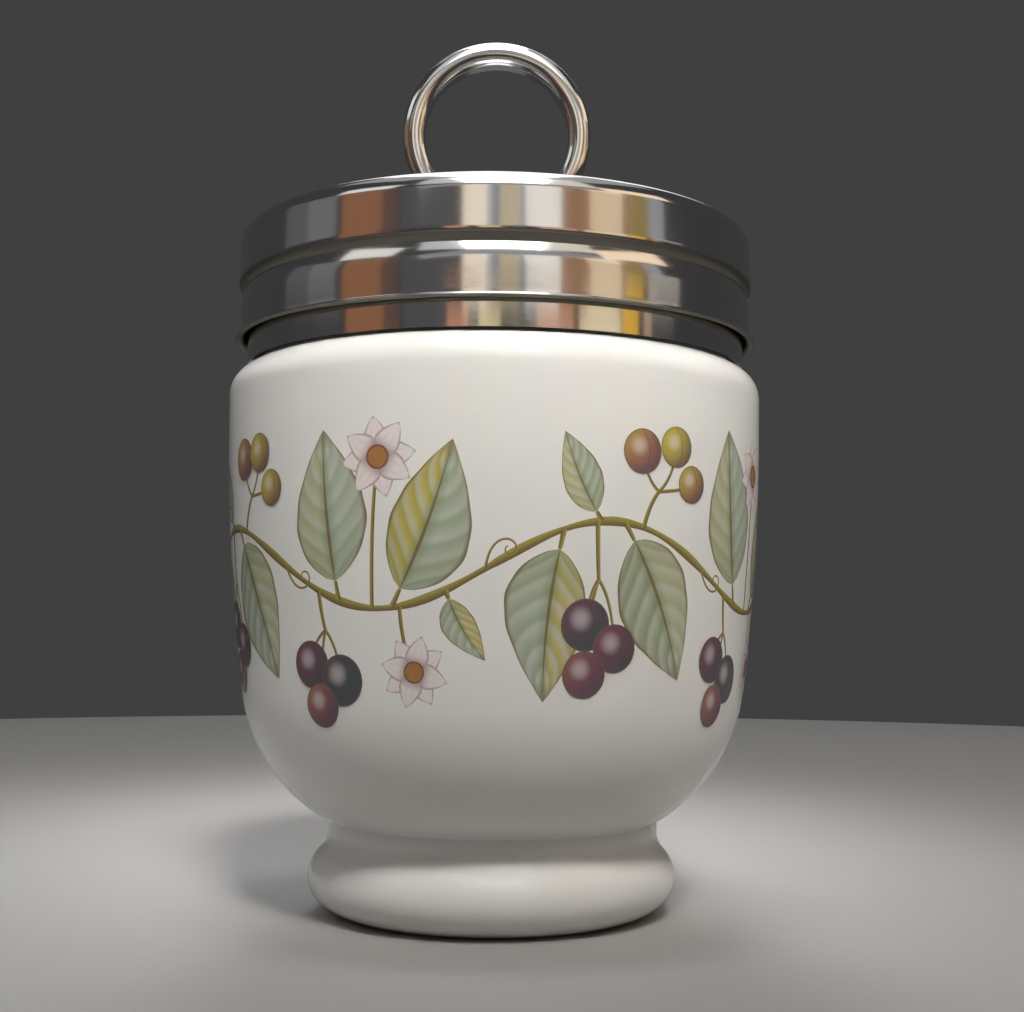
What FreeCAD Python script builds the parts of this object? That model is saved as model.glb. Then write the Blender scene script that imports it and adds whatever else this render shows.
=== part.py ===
import FreeCAD, Part
import math
import os
import re
import Sketcher

# A footed porcelain egg coddler with a screw lid of two metal shells.
# Millimetres, +Z up, the origin at the middle of the foot's base.

doc = FreeCAD.newDocument("EggCoddler")

# ---------------------------------------------------------------- sizes

DRIVING_SIZES = {
    # Foot, from the table up to the waist.
    "foot_radius": (24.3, "widest radius of the foot"),
    "foot_lower_round": (4.8, "rounding from the base up to the widest point"),
    "foot_upper_round": (4.9, "rounding from the widest point up to the waist cove"),
    "foot_ring_width": (2.2, "flat ring that stands on the table"),
    "floor_thickness": (4.4, "floor between the bowl and the hollow under the foot"),
    "recess_draft": (1.4, "how much the hollow narrows towards its top"),
    "recess_round": (2.0, "rounding inside the hollow's corner"),
    "waist_set_in": (2.45, "how far the waist lies inside the foot"),
    "waist_cove": (3.4, "cove that leads from the foot into the waist"),
    "waist_band": (1.5, "straight band of the waist"),
    # Bowl, from the waist up to the shoulder.
    "bowl_round": (22.5, "rounding of the bowl's lower corner"),
    "side_curve": (278.0, "radius of the slightly bowed side"),
    "side_rise": (33.4, "height of the bowed side"),
    "body_radius": (35.0, "widest radius of the body"),
    "side_straight": (4.8, "straight side above the bowed one"),
    "shoulder_round": (4.0, "rounding of the shoulder"),
    "wall": (3.6, "wall of the bowl"),
    "shoulder_wall": (4.1, "wall through the shoulder"),
    "inner_bend": (3.6, "both bends where the inside narrows to the neck"),
    # Neck, with its moulded screw thread.
    "neck_set_in": (4.3, "how far the neck lies inside the body"),
    "neck_wall": (2.9, "wall of the neck, at the thread's root"),
    "neck_height": (15.0, "from the shoulder up to the rim"),
    "rim_round": (1.2, "rounding of the rim"),
    "thread_lead": (4.0, "rise of the thread in one turn"),
    "neck_thread_turns": (1.3, "length of the neck's ridge, in turns"),
    "neck_thread_depth": (0.95, "how far the neck's ridge stands out"),
    "neck_thread_crest": (0.9, "width of the neck's ridge at its crest"),
    "neck_thread_drop": (2.2, "from the rim down to the middle of the ridge's top end"),
    "thread_flank": (0.45, "how much each flank leans for one millimetre of depth"),
    "thread_root": (0.3, "how far a ridge's section reaches into its wall"),
    "thread_axial_gap": (0.25, "clearance between the bearing flanks"),
    "thread_radial_gap": (0.3, "clearance between a crest and the wall that it faces"),
    # Seal between the rim and the lid.
    "seal_thickness": (1.6, "thickness of the sealing ring"),
    "seal_overlap": (0.5, "how far the sealing ring reaches in past the mouth"),
    "seal_margin": (0.3, "how far the sealing ring reaches out past the neck"),
    "seal_round": (0.3, "rounding of the sealing ring's edges"),
    "rim_gap": (0.2, "clearance between the rim and the sealing ring"),
    "seal_gap": (0.1, "clearance between the sealing ring and the liner"),
    # Inner shell of the lid, which carries the lid's thread.
    "liner_sheet": (0.45, "sheet of the liner"),
    "liner_corner": (1.4, "rounding of the liner's top edge"),
    "lid_thread_turns": (1.2, "length of the liner's ridge, in turns"),
    "lid_thread_crest": (0.8, "width of the liner's ridge at its crest"),
    "skirt_step": (0.4, "how far the liner's skirt stands out"),
    "skirt_gap": (0.1, "from the shoulder's top up to the skirt's edge"),
    "skirt_height": (3.9, "height of the liner's skirt"),
    "skirt_slope": (0.6, "height of the slope above the skirt"),
    # Outer shell of the lid.
    "cover_sheet": (0.4, "sheet of the cover"),
    "lip_gap": (3.2, "from the shoulder's top up to the lip"),
    "cover_corner": (2.3, "rounding of the cover's top edge"),
    "upper_band_gap": (1.0, "from the liner out to the cover's upper band, at its foot"),
    "upper_band_taper": (0.15, "how much the upper band narrows towards its top"),
    "upper_band_drop": (6.75, "from the flat top down to the groove"),
    "groove_depth": (0.7, "depth of the rolled groove below the upper band"),
    "groove_upper_slope": (1.3, "height of the groove's upper flank"),
    "groove_lower_slope": (2.15, "height of the groove's lower flank"),
    "lower_band_set_back": (0.35, "how far the lower band lies behind the upper one"),
    "groove_upper_curve": (2.2, "curve of the groove's upper flank"),
    "lip_out": (0.85, "how far the lip turns out from the lower band"),
    "lip_rise": (1.3, "height of the turned-out lip"),
    "dome_margin": (6.35, "flat ring between the rounded edge and the shallow dome"),
    "dome_height": (0.6, "height of the dome"),
    # Ring handle, and the boss that is riveted through both shells.
    "ring_outer_radius": (12.6, "outside of the ring"),
    "ring_thickness": (3.0, "ring's section, measured across the ring"),
    "ring_depth": (4.0, "ring's section, measured along its axis"),
    "ring_section_round": (1.0, "rounding of the ring's section"),
    "ring_lift": (1.2, "gap between the lid's top and the ring"),
    "boss_cheek": (1.5, "how far the boss reaches past the ring, on both sides"),
    "boss_flange_width": (1.7, "how far the flange stands out from the boss"),
    "boss_flange_height": (0.5, "thickness of the flange's edge"),
    "boss_slope": (0.8, "height of the slope from the flange to the head"),
    "boss_cradle": (1.9, "how deep the ring lies in the boss"),
    "boss_edge": (0.4, "rounding of the head's top edge"),
    "cradle_gap": (0.05, "brazing gap round the ring"),
    "shank_radius": (2.0, "shank of the boss"),
    "shank_gap": (0.05, "clearance round the shank"),
    "washer_width": (3.95, "width of the backing washer, from its hole out"),
    "washer_thickness": (0.8, "thickness of the backing washer"),
    "rivet_overhang": (1.3, "how far the riveted end stands out from the shank"),
    "rivet_head_height": (0.8, "height of the riveted end"),
}

WORKED_OUT_SIZES = {
    # Foot and waist: two circles that touch, the foot's round and the cove.
    "waist_radius": "foot_radius - waist_set_in",
    "foot_round_centre": "foot_radius - foot_upper_round",
    "cove_centre": "waist_radius + waist_cove",
    "waist_height": "foot_lower_round + sqrt((foot_upper_round + waist_cove)^2"
                    " - (cove_centre - foot_round_centre)^2)",
    "blend_share": "foot_upper_round / (foot_upper_round + waist_cove)",
    "blend_radius": "foot_round_centre + blend_share * (cove_centre - foot_round_centre)",
    "blend_height": "foot_lower_round + blend_share * (waist_height - foot_lower_round)",
    "foot_ring_outer": "foot_radius - foot_lower_round",
    "foot_ring_inner": "foot_ring_outer - foot_ring_width",
    "recess_radius": "foot_ring_inner - recess_draft",
    # Bowl: the lower corner's circle touches the bowed side's circle.
    "crease_height": "waist_height + waist_band",
    "side_centre": "body_radius - side_curve",
    "tilt_sine": "side_rise / side_curve",
    "tilt_cosine": "sqrt(1 - tilt_sine^2)",
    "bowl_centre": "side_centre + (side_curve - bowl_round) * tilt_cosine",
    "bowl_centre_height": "crease_height + sqrt(bowl_round^2 - (waist_radius - bowl_centre)^2)",
    "bowl_top_radius": "bowl_centre + bowl_round * tilt_cosine",
    "bowl_top_height": "bowl_centre_height - bowl_round * tilt_sine",
    "widest_height": "bowl_top_height + side_rise",
    "shoulder_foot": "widest_height + side_straight",
    "shoulder_height": "shoulder_foot + shoulder_round",
    "neck_radius": "body_radius - neck_set_in",
    "mouth_radius": "neck_radius - neck_wall",
    "inner_radius": "body_radius - wall",
    "inner_top_radius": "bowl_centre + (bowl_round - wall) * tilt_cosine",
    "inner_top_height": "bowl_centre_height - (bowl_round - wall) * tilt_sine",
    "floor_height": "bowl_centre_height - bowl_round + wall",
    "recess_height": "floor_height - floor_thickness",
    "bend_half_width": "(inner_radius - mouth_radius) / 2",
    "bend_half_height": "sqrt(inner_bend^2 - (inner_bend - bend_half_width)^2)",
    "bend_height": "shoulder_height - shoulder_wall",
    "rim_height": "shoulder_height + neck_height",
    # Screw thread: the liner's ridge lies right under the neck's.
    "neck_crest_radius": "neck_radius + neck_thread_depth",
    "neck_thread_start": "rim_height - neck_thread_drop - thread_lead * neck_thread_turns",
    "lid_crest_radius": "neck_radius + thread_radial_gap",
    "liner_inner_radius": "neck_crest_radius + thread_radial_gap",
    "lid_thread_depth": "liner_inner_radius - lid_crest_radius",
    "thread_offset": "(neck_thread_crest + lid_thread_crest) / 2"
                     " + (neck_crest_radius - lid_crest_radius) * thread_flank + thread_axial_gap",
    "lid_thread_start": "neck_thread_start - thread_offset",
    # Seal and the two shells, stacked up from the rim.
    "seal_height": "rim_height + rim_gap",
    "seal_inner_radius": "mouth_radius - seal_overlap",
    "seal_outer_radius": "neck_radius + seal_margin",
    "liner_underside": "seal_height + seal_thickness + seal_gap",
    "liner_top": "liner_underside + liner_sheet",
    "liner_radius": "liner_inner_radius + liner_sheet",
    "skirt_radius": "liner_radius + skirt_step",
    "skirt_foot": "shoulder_height + skirt_gap",
    "skirt_top": "skirt_foot + skirt_height",
    "cover_top": "liner_top + cover_sheet",
    "lip_height": "shoulder_height + lip_gap",
    "upper_band_foot": "liner_radius + upper_band_gap + cover_sheet",
    "upper_band_radius": "upper_band_foot - upper_band_taper",
    "groove_top": "cover_top - upper_band_drop",
    "groove_radius": "upper_band_foot - groove_depth",
    "groove_height": "groove_top - groove_upper_slope",
    "groove_foot": "groove_height - groove_lower_slope",
    "lower_band_radius": "upper_band_foot - lower_band_set_back",
    "groove_lower_rise": "lower_band_radius - groove_radius",
    "groove_lower_curve": "(groove_lower_rise^2 + groove_lower_slope^2) / (2 * groove_lower_rise)",
    "lip_radius": "lower_band_radius + lip_out",
    "lip_curve": "(lip_out^2 + lip_rise^2) / (2 * lip_out)",
    "dome_radius": "upper_band_radius - cover_corner - dome_margin",
    "dome_curve": "(dome_radius^2 + dome_height^2) / (2 * dome_height)",
    "dome_top": "cover_top + dome_height",
    # Boss, washer and ring, on the lid's axis.
    "hole_radius": "shank_radius + shank_gap",
    "washer_radius": "hole_radius + washer_width",
    "rivet_head_radius": "shank_radius + rivet_overhang",
    "boss_radius": "ring_depth / 2 + boss_cheek",
    "boss_flange_radius": "boss_radius + boss_flange_width",
    "ring_foot": "dome_top + ring_lift",
    "ring_centre": "ring_foot + ring_outer_radius",
    "ring_inner_radius": "ring_outer_radius - ring_thickness",
    "boss_top": "ring_foot + boss_cradle",
    "boss_slope_foot": "dome_top + boss_flange_height",
    "washer_underside": "liner_underside - washer_thickness",
    "rivet_foot": "washer_underside - rivet_head_height",
    "rivet_curve": "(rivet_head_radius^2 + rivet_head_height^2) / (2 * rivet_head_height)",
}

sheet = doc.addObject("Spreadsheet::Sheet", "Sizes")


def fill_sheet():
    """Write every size into the sheet, with its name as the alias of its cell."""
    row = 1
    for name, (number, note) in DRIVING_SIZES.items():
        sheet.set(f"A{row}", name)
        sheet.set(f"B{row}", str(number))
        sheet.set(f"C{row}", note)
        sheet.setAlias(f"B{row}", name)
        row += 1
    for name, formula in WORKED_OUT_SIZES.items():
        sheet.set(f"A{row}", name)
        sheet.set(f"B{row}", "=" + formula)
        sheet.setAlias(f"B{row}", name)
        row += 1
    doc.recompute()


fill_sheet()

# -------------------------------------------------------------- helpers

SIZE_NAME = re.compile(r"\b(" + "|".join([*DRIVING_SIZES, *WORKED_OUT_SIZES]) + r")\b")


def value(formula):
    """The number that a formula of size names gives now."""
    return float(sheet.evalExpression(formula))


def bound(formula):
    """The same formula as an expression that reads the sheet."""
    return SIZE_NAME.sub(r"Sizes.\1", formula)


def make_body(label):
    """A body whose label names its file."""
    body = doc.addObject("PartDesign::Body", label)
    body.Label = label
    return body


def make_sketch(body, name, role):
    """A sketch on one of the body's own origin planes."""
    sketch = body.newObject("Sketcher::SketchObject", name)
    plane = [part for part in body.Origin.OriginFeatures if part.Role == role][0]
    sketch.AttachmentSupport = [(plane, "")]
    sketch.MapMode = "FlatFace"
    return sketch


def pin(sketch, edge, end, formula, kind):
    """Hold one coordinate of a corner at the size that the formula gives."""
    if formula == "0":
        axis = {"DistanceX": -2, "DistanceY": -1}[kind]
        sketch.addConstraint(Sketcher.Constraint("PointOnObject", edge, end, axis))
        return
    limit = Sketcher.Constraint(kind, -1, 1, edge, end, value(formula))
    index = sketch.addConstraint(limit)
    sketch.setExpression(f"Constraints[{index}]", bound(formula))


def arc_between(start, end, radius, turn):
    """The short arc from start to end: turn is +1 for anticlockwise, -1 for clockwise."""
    chord = end - start
    sag = math.sqrt(radius ** 2 - (chord.Length / 2) ** 2)
    side = FreeCAD.Vector(-chord.y, chord.x, 0).normalize()
    centre = (start + end) * 0.5 + side * (sag * turn)
    first, last = (start, end) if turn > 0 else (end, start)
    first_angle = math.atan2(first.y - centre.y, first.x - centre.x)
    last_angle = math.atan2(last.y - centre.y, last.x - centre.x)
    if last_angle < first_angle:
        last_angle += 2 * math.pi
    circle = Part.Circle(centre, FreeCAD.Vector(0, 0, 1), radius)
    return Part.ArcOfCircle(circle, first_angle, last_angle)


def draw_outline(sketch, steps):
    """Draw a closed outline and hold each of its corners and radii with the sheet.

    A step is (x, y) for a straight edge to that corner, or (x, y, radius, turn) for an
    arc to it. The last corner is joined to the first by a straight edge.
    """
    corners = [FreeCAD.Vector(value(step[0]), value(step[1]), 0) for step in steps]
    count = len(steps)
    ends = []
    for index, step in enumerate(steps):
        start = corners[index - 1]
        end = corners[index]
        if len(step) == 2:
            sketch.addGeometry(Part.LineSegment(start, end), False)
            ends.append((1, 2))
        else:
            sketch.addGeometry(arc_between(start, end, value(step[2]), step[3]), False)
            ends.append((1, 2) if step[3] > 0 else (2, 1))
    for index, step in enumerate(steps):
        following = (index + 1) % count
        join = Sketcher.Constraint("Coincident", index, ends[index][1], following, ends[following][0])
        sketch.addConstraint(join)
        pin(sketch, index, ends[index][1], step[0], "DistanceX")
        pin(sketch, index, ends[index][1], step[1], "DistanceY")
        if len(step) == 4:
            radius = Sketcher.Constraint("Radius", index, value(step[2]))
            number = sketch.addConstraint(radius)
            sketch.setExpression(f"Constraints[{number}]", bound(step[2]))


def turn_outline(body, name, steps):
    """Turn an outline of radius and height about the body's upright axis."""
    sketch = make_sketch(body, name + "_outline", "XZ_Plane")
    draw_outline(sketch, steps)
    turned = body.newObject("PartDesign::Revolution", name)
    turned.Profile = sketch
    turned.ReferenceAxis = (sketch, ["V_Axis"])
    turned.Angle = 360
    doc.recompute()
    return turned


def add_thread(body, name, root, crest, crest_width, start, turns):
    """Run a trapezoidal ridge up a right-hand helix, from a root radius to a crest radius."""
    lean = f"abs({crest} - {root}) * thread_flank"
    sketch = make_sketch(body, name + "_section", "XZ_Plane")
    draw_outline(sketch, [
        (root, f"{start} - {crest_width} / 2 - {lean}"),
        (crest, f"{start} - {crest_width} / 2"),
        (crest, f"{start} + {crest_width} / 2"),
        (root, f"{start} + {crest_width} / 2 + {lean}"),
    ])
    ridge = body.newObject("PartDesign::AdditiveHelix", name)
    ridge.Profile = sketch
    ridge.ReferenceAxis = (sketch, ["V_Axis"])
    ridge.Mode = "pitch-height-angle"
    ridge.setExpression("Pitch", bound("thread_lead"))
    ridge.setExpression("Height", bound(f"thread_lead * {turns}"))
    doc.recompute()


def drill_top(body, name):
    """Make the hole for the boss's shank, through the shell's top."""
    sketch = make_sketch(body, name + "_circle", "XY_Plane")
    circle = Part.Circle(FreeCAD.Vector(), FreeCAD.Vector(0, 0, 1), value("hole_radius"))
    sketch.addGeometry(circle, False)
    sketch.addConstraint(Sketcher.Constraint("Coincident", 0, 3, -1, 1))
    index = sketch.addConstraint(Sketcher.Constraint("Radius", 0, value("hole_radius")))
    sketch.setExpression(f"Constraints[{index}]", bound("hole_radius"))
    full = body.Shape.Volume
    hole = body.newObject("PartDesign::Pocket", name)
    hole.Profile = sketch
    hole.Type = "ThroughAll"
    hole.Reversed = True
    doc.recompute()
    if not body.Shape.Volume < full:
        raise RuntimeError(f"{name} cuts nothing")


def draw_ring_section(sketch, margin):
    """Draw the ring's rounded section below its axis, wider all round by the margin."""
    half = f"ring_depth / 2 + {margin}"
    inner = f"ring_inner_radius - {margin}"
    outer = f"ring_outer_radius + {margin}"
    rounding = f"ring_section_round + {margin}"
    draw_outline(sketch, [
        (f"{inner} + {rounding}", half, rounding, -1),
        (f"{outer} - {rounding}", half),
        (outer, f"{half} - ({rounding})", rounding, -1),
        (outer, f"{rounding} - ({half})"),
        (f"{outer} - {rounding}", f"-({half})", rounding, -1),
        (f"{inner} + {rounding}", f"-({half})"),
        (inner, f"{rounding} - ({half})", rounding, -1),
        (inner, f"{half} - ({rounding})"),
    ])


# ------------------------------------------------------------ sub-parts


def make_porcelain_cup():
    """The footed cup: one casting with its neck, rim and moulded thread."""
    body = make_body("porcelain_cup")
    turn_outline(body, "cup_wall", [
        ("0", "recess_height"),
        ("recess_radius - recess_round", "recess_height"),
        ("recess_radius", "recess_height - recess_round", "recess_round", -1),
        ("foot_ring_inner", "0"),
        ("foot_ring_outer", "0"),
        ("foot_radius", "foot_lower_round", "foot_lower_round", 1),
        ("blend_radius", "blend_height", "foot_upper_round", 1),
        ("waist_radius", "waist_height", "waist_cove", -1),
        ("waist_radius", "crease_height"),
        ("bowl_top_radius", "bowl_top_height", "bowl_round", 1),
        ("body_radius", "widest_height", "side_curve", 1),
        ("body_radius", "shoulder_foot"),
        ("body_radius - shoulder_round", "shoulder_height", "shoulder_round", 1),
        ("neck_radius", "shoulder_height"),
        ("neck_radius", "rim_height - rim_round"),
        ("neck_radius - rim_round", "rim_height", "rim_round", 1),
        ("mouth_radius + rim_round", "rim_height"),
        ("mouth_radius", "rim_height - rim_round", "rim_round", 1),
        ("mouth_radius", "bend_height + bend_half_height"),
        ("mouth_radius + bend_half_width", "bend_height", "inner_bend", 1),
        ("inner_radius", "bend_height - bend_half_height", "inner_bend", -1),
        ("inner_radius", "widest_height"),
        ("inner_top_radius", "inner_top_height", "side_curve - wall", -1),
        ("bowl_centre", "floor_height", "bowl_round - wall", -1),
        ("0", "floor_height"),
    ])
    add_thread(body, "neck_thread", "(neck_radius - thread_root)", "neck_crest_radius",
               "neck_thread_crest", "neck_thread_start", "neck_thread_turns")
    return body


def make_sealing_ring():
    """The flat rubber ring that the lid presses on the rim."""
    body = make_body("sealing_ring")
    top = "seal_height + seal_thickness"
    turn_outline(body, "seal_ring", [
        ("seal_inner_radius", "seal_height + seal_round"),
        ("seal_inner_radius + seal_round", "seal_height", "seal_round", 1),
        ("seal_outer_radius - seal_round", "seal_height"),
        ("seal_outer_radius", "seal_height + seal_round", "seal_round", 1),
        ("seal_outer_radius", top + " - seal_round"),
        ("seal_outer_radius - seal_round", top, "seal_round", 1),
        ("seal_inner_radius + seal_round", top),
        ("seal_inner_radius", top + " - seal_round", "seal_round", 1),
    ])
    return body


def make_screw_liner():
    """The lid's inner shell: a pressed cap whose wall carries the lid's thread."""
    body = make_body("screw_liner")
    turn_outline(body, "liner_shell", [
        ("0", "liner_underside"),
        ("liner_radius - liner_corner", "liner_underside"),
        ("liner_inner_radius", "liner_top - liner_corner", "liner_corner - liner_sheet", -1),
        ("liner_inner_radius", "skirt_top + skirt_slope"),
        ("skirt_radius - liner_sheet", "skirt_top"),
        ("skirt_radius - liner_sheet", "skirt_foot"),
        ("skirt_radius", "skirt_foot"),
        ("skirt_radius", "skirt_top"),
        ("liner_radius", "skirt_top + skirt_slope"),
        ("liner_radius", "liner_top - liner_corner"),
        ("liner_radius - liner_corner", "liner_top", "liner_corner", 1),
        ("0", "liner_top"),
    ])
    add_thread(body, "liner_thread", "(liner_inner_radius + thread_root)", "lid_crest_radius",
               "lid_thread_crest", "lid_thread_start", "lid_thread_turns")
    drill_top(body, "liner_hole")
    return body


def make_lid_cover():
    """The lid's outer shell, with a rolled groove and a turned-out lip."""
    body = make_body("lid_cover")
    turn_outline(body, "cover_shell", [
        ("0", "dome_top - cover_sheet"),
        ("dome_radius", "cover_top - cover_sheet", "dome_curve", -1),
        ("upper_band_radius - cover_corner", "cover_top - cover_sheet"),
        ("upper_band_radius - cover_sheet", "cover_top - cover_corner",
         "cover_corner - cover_sheet", -1),
        ("upper_band_foot - cover_sheet", "groove_top"),
        ("groove_radius - cover_sheet", "groove_height", "groove_upper_curve", -1),
        ("lower_band_radius - cover_sheet", "groove_foot", "groove_lower_curve", -1),
        ("lower_band_radius - cover_sheet", "lip_height + lip_rise"),
        ("lip_radius - cover_sheet", "lip_height", "lip_curve", 1),
        ("lip_radius", "lip_height"),
        ("lower_band_radius", "lip_height + lip_rise", "lip_curve", -1),
        ("lower_band_radius", "groove_foot"),
        ("groove_radius", "groove_height", "groove_lower_curve", 1),
        ("upper_band_foot", "groove_top", "groove_upper_curve", 1),
        ("upper_band_radius", "cover_top - cover_corner"),
        ("upper_band_radius - cover_corner", "cover_top", "cover_corner", 1),
        ("dome_radius", "cover_top"),
        ("0", "dome_top", "dome_curve", 1),
    ])
    drill_top(body, "cover_hole")
    return body


def make_ring_boss():
    """The turned boss that cradles the ring, with a shank riveted through both shells."""
    body = make_body("ring_boss")
    turn_outline(body, "boss", [
        ("0", "rivet_foot"),
        ("rivet_head_radius", "washer_underside", "rivet_curve", 1),
        ("shank_radius", "washer_underside"),
        ("shank_radius", "dome_top"),
        ("boss_flange_radius", "dome_top"),
        ("boss_flange_radius", "boss_slope_foot"),
        ("boss_radius", "boss_slope_foot + boss_slope"),
        ("boss_radius", "boss_top - boss_edge"),
        ("boss_radius - boss_edge", "boss_top", "boss_edge", 1),
        ("0", "boss_top"),
    ])
    full = body.Shape.Volume
    sketch = make_sketch(body, "cradle_section", "XY_Plane")
    sketch.setExpression("AttachmentOffset.Base.z", bound("ring_centre"))
    draw_ring_section(sketch, "cradle_gap")
    cradle = body.newObject("PartDesign::Groove", "cradle")
    cradle.Profile = sketch
    cradle.ReferenceAxis = (sketch, ["V_Axis"])
    cradle.Angle = 360
    doc.recompute()
    if not body.Shape.Volume < full:
        raise RuntimeError("the cradle cuts nothing")
    return body


def make_ring_handle():
    """The finger ring, which stands upright across the lid."""
    body = make_body("ring_handle")
    sketch = make_sketch(body, "ring_section", "XY_Plane")
    draw_ring_section(sketch, "0")
    ring = body.newObject("PartDesign::Revolution", "ring")
    ring.Profile = sketch
    ring.ReferenceAxis = (sketch, ["V_Axis"])
    ring.Angle = 360
    body.setExpression("Placement.Base.z", bound("ring_centre"))
    doc.recompute()
    return body


def make_backing_washer():
    """The washer under the liner that the shank is riveted over."""
    disc = doc.addObject("Part::Cylinder", "washer_disc")
    disc.setExpression("Radius", bound("washer_radius"))
    disc.setExpression("Height", bound("washer_thickness"))
    hole = doc.addObject("Part::Cylinder", "washer_hole")
    hole.setExpression("Radius", bound("hole_radius"))
    hole.setExpression("Height", bound("washer_thickness"))
    washer = doc.addObject("Part::Cut", "backing_washer")
    washer.Base = disc
    washer.Tool = hole
    washer.Label = "backing_washer"
    washer.setExpression("Placement.Base.z", bound("washer_underside"))
    doc.recompute()
    return washer


# --------------------------------------------------------------- output


def check_document():
    """Stop if the sheet, a sketch or a feature has failed."""
    for item in doc.Objects:
        if "Invalid" in item.State or "Error" in item.State:
            raise RuntimeError(f"{item.Name} has failed: {item.State}")


def write_parts(parts):
    """Check each sub-part's shape, then write them all."""
    check_document()
    for part in parts:
        if part.Shape.isNull() or not part.Shape.isValid():
            raise RuntimeError(f"{part.Label} has no valid shape")
    os.makedirs("parts", exist_ok=True)
    for part in parts:
        part.Shape.exportStep(f"parts/{part.Label}.step")
        print(f"{part.Label}: {len(part.Shape.Solids)} solid, {part.Shape.Volume:.1f} mm3")


write_parts([
    make_porcelain_cup(),
    make_sealing_ring(),
    make_screw_liner(),
    make_lid_cover(),
    make_ring_boss(),
    make_ring_handle(),
    make_backing_washer(),
])
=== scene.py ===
"""Looks of a porcelain egg coddler.

The glazed cup with its printed garland, the plated screw lid with its finger ring, and a plain
studio round them. Every length is in metres, in the frame of the coddler's solids.
"""

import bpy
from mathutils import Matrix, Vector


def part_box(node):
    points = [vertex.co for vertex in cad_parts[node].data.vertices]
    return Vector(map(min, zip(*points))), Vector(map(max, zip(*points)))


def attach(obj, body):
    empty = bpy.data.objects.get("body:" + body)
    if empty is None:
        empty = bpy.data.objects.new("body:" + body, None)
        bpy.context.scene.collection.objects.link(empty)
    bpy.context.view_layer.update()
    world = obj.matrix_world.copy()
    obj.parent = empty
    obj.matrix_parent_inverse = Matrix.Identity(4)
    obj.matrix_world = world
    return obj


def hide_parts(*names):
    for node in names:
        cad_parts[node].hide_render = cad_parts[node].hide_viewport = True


bl_info = {
    "name": "Porcelain Egg Coddler",
    "version": (1, 0, 0),
    "blender": (4, 5, 0),
    "location": "View3D > Sidebar > Coddler",
    "description": "Glazed cup with a printed garland, plated screw lid, finger ring and studio",
    "category": "Object",
}

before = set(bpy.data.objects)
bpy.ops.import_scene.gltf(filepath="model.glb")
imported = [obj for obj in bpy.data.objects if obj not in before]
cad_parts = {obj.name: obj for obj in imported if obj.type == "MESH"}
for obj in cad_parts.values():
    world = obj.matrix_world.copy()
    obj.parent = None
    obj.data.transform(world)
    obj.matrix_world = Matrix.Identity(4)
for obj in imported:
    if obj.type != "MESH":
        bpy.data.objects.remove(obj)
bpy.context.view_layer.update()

import math
import random

import bmesh
import bpy
from bpy.props import FloatProperty, FloatVectorProperty, IntProperty, PointerProperty
from mathutils import Matrix, Vector

MM = 0.001
CUP_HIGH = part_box("porcelain_cup")[1]
COVER_LOW, COVER_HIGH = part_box("lid_cover")
RING_LOW, RING_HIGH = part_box("ring_handle")

# How finely outlines are divided.
ARC_STEP = math.radians(5.0)
LEAST_STEPS = 3
CUP_EDGE = 1.2 * MM
LID_EDGE = 0.5 * MM
MERGE_GAP = 0.0005 * MM
SMOOTH_ANGLE = math.radians(35.0)
RING_STEPS = 144

# The neck's ridge: how deep its root lies in the wall, how far its flanks lean for each millimetre
# of depth, the width and radius of the rounding at its crest, the turn over which each end runs
# out, and the steps of its sweep.
THREAD_BURIED = 0.3 * MM
THREAD_LEAN = 0.45
THREAD_EDGE = 0.25 * MM
THREAD_EDGE_CURVE = 0.4 * MM
THREAD_RUN_OUT = math.tau / 8
THREAD_STEPS = 180


# ------------------------------------------------------------ settings


def linear(code):
    """The linear colour of an sRGB hex code."""
    parts = [int(code[place:place + 2], 16) / 255 for place in (0, 2, 4)]
    return tuple(part / 12.92 if part <= 0.04045 else ((part + 0.055) / 1.055) ** 2.4 for part in parts)


def length(name, size, about):
    """A length that can be set in the sidebar."""
    return FloatProperty(name=name, description=about, default=size, min=0.0, unit="LENGTH", precision=5)


def colour(name, code, about):
    """A colour that can be set in the sidebar, given as an sRGB hex code."""
    return FloatVectorProperty(name=name, description=about, default=linear(code), min=0.0, max=1.0,
                               size=3, subtype="COLOR")


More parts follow.
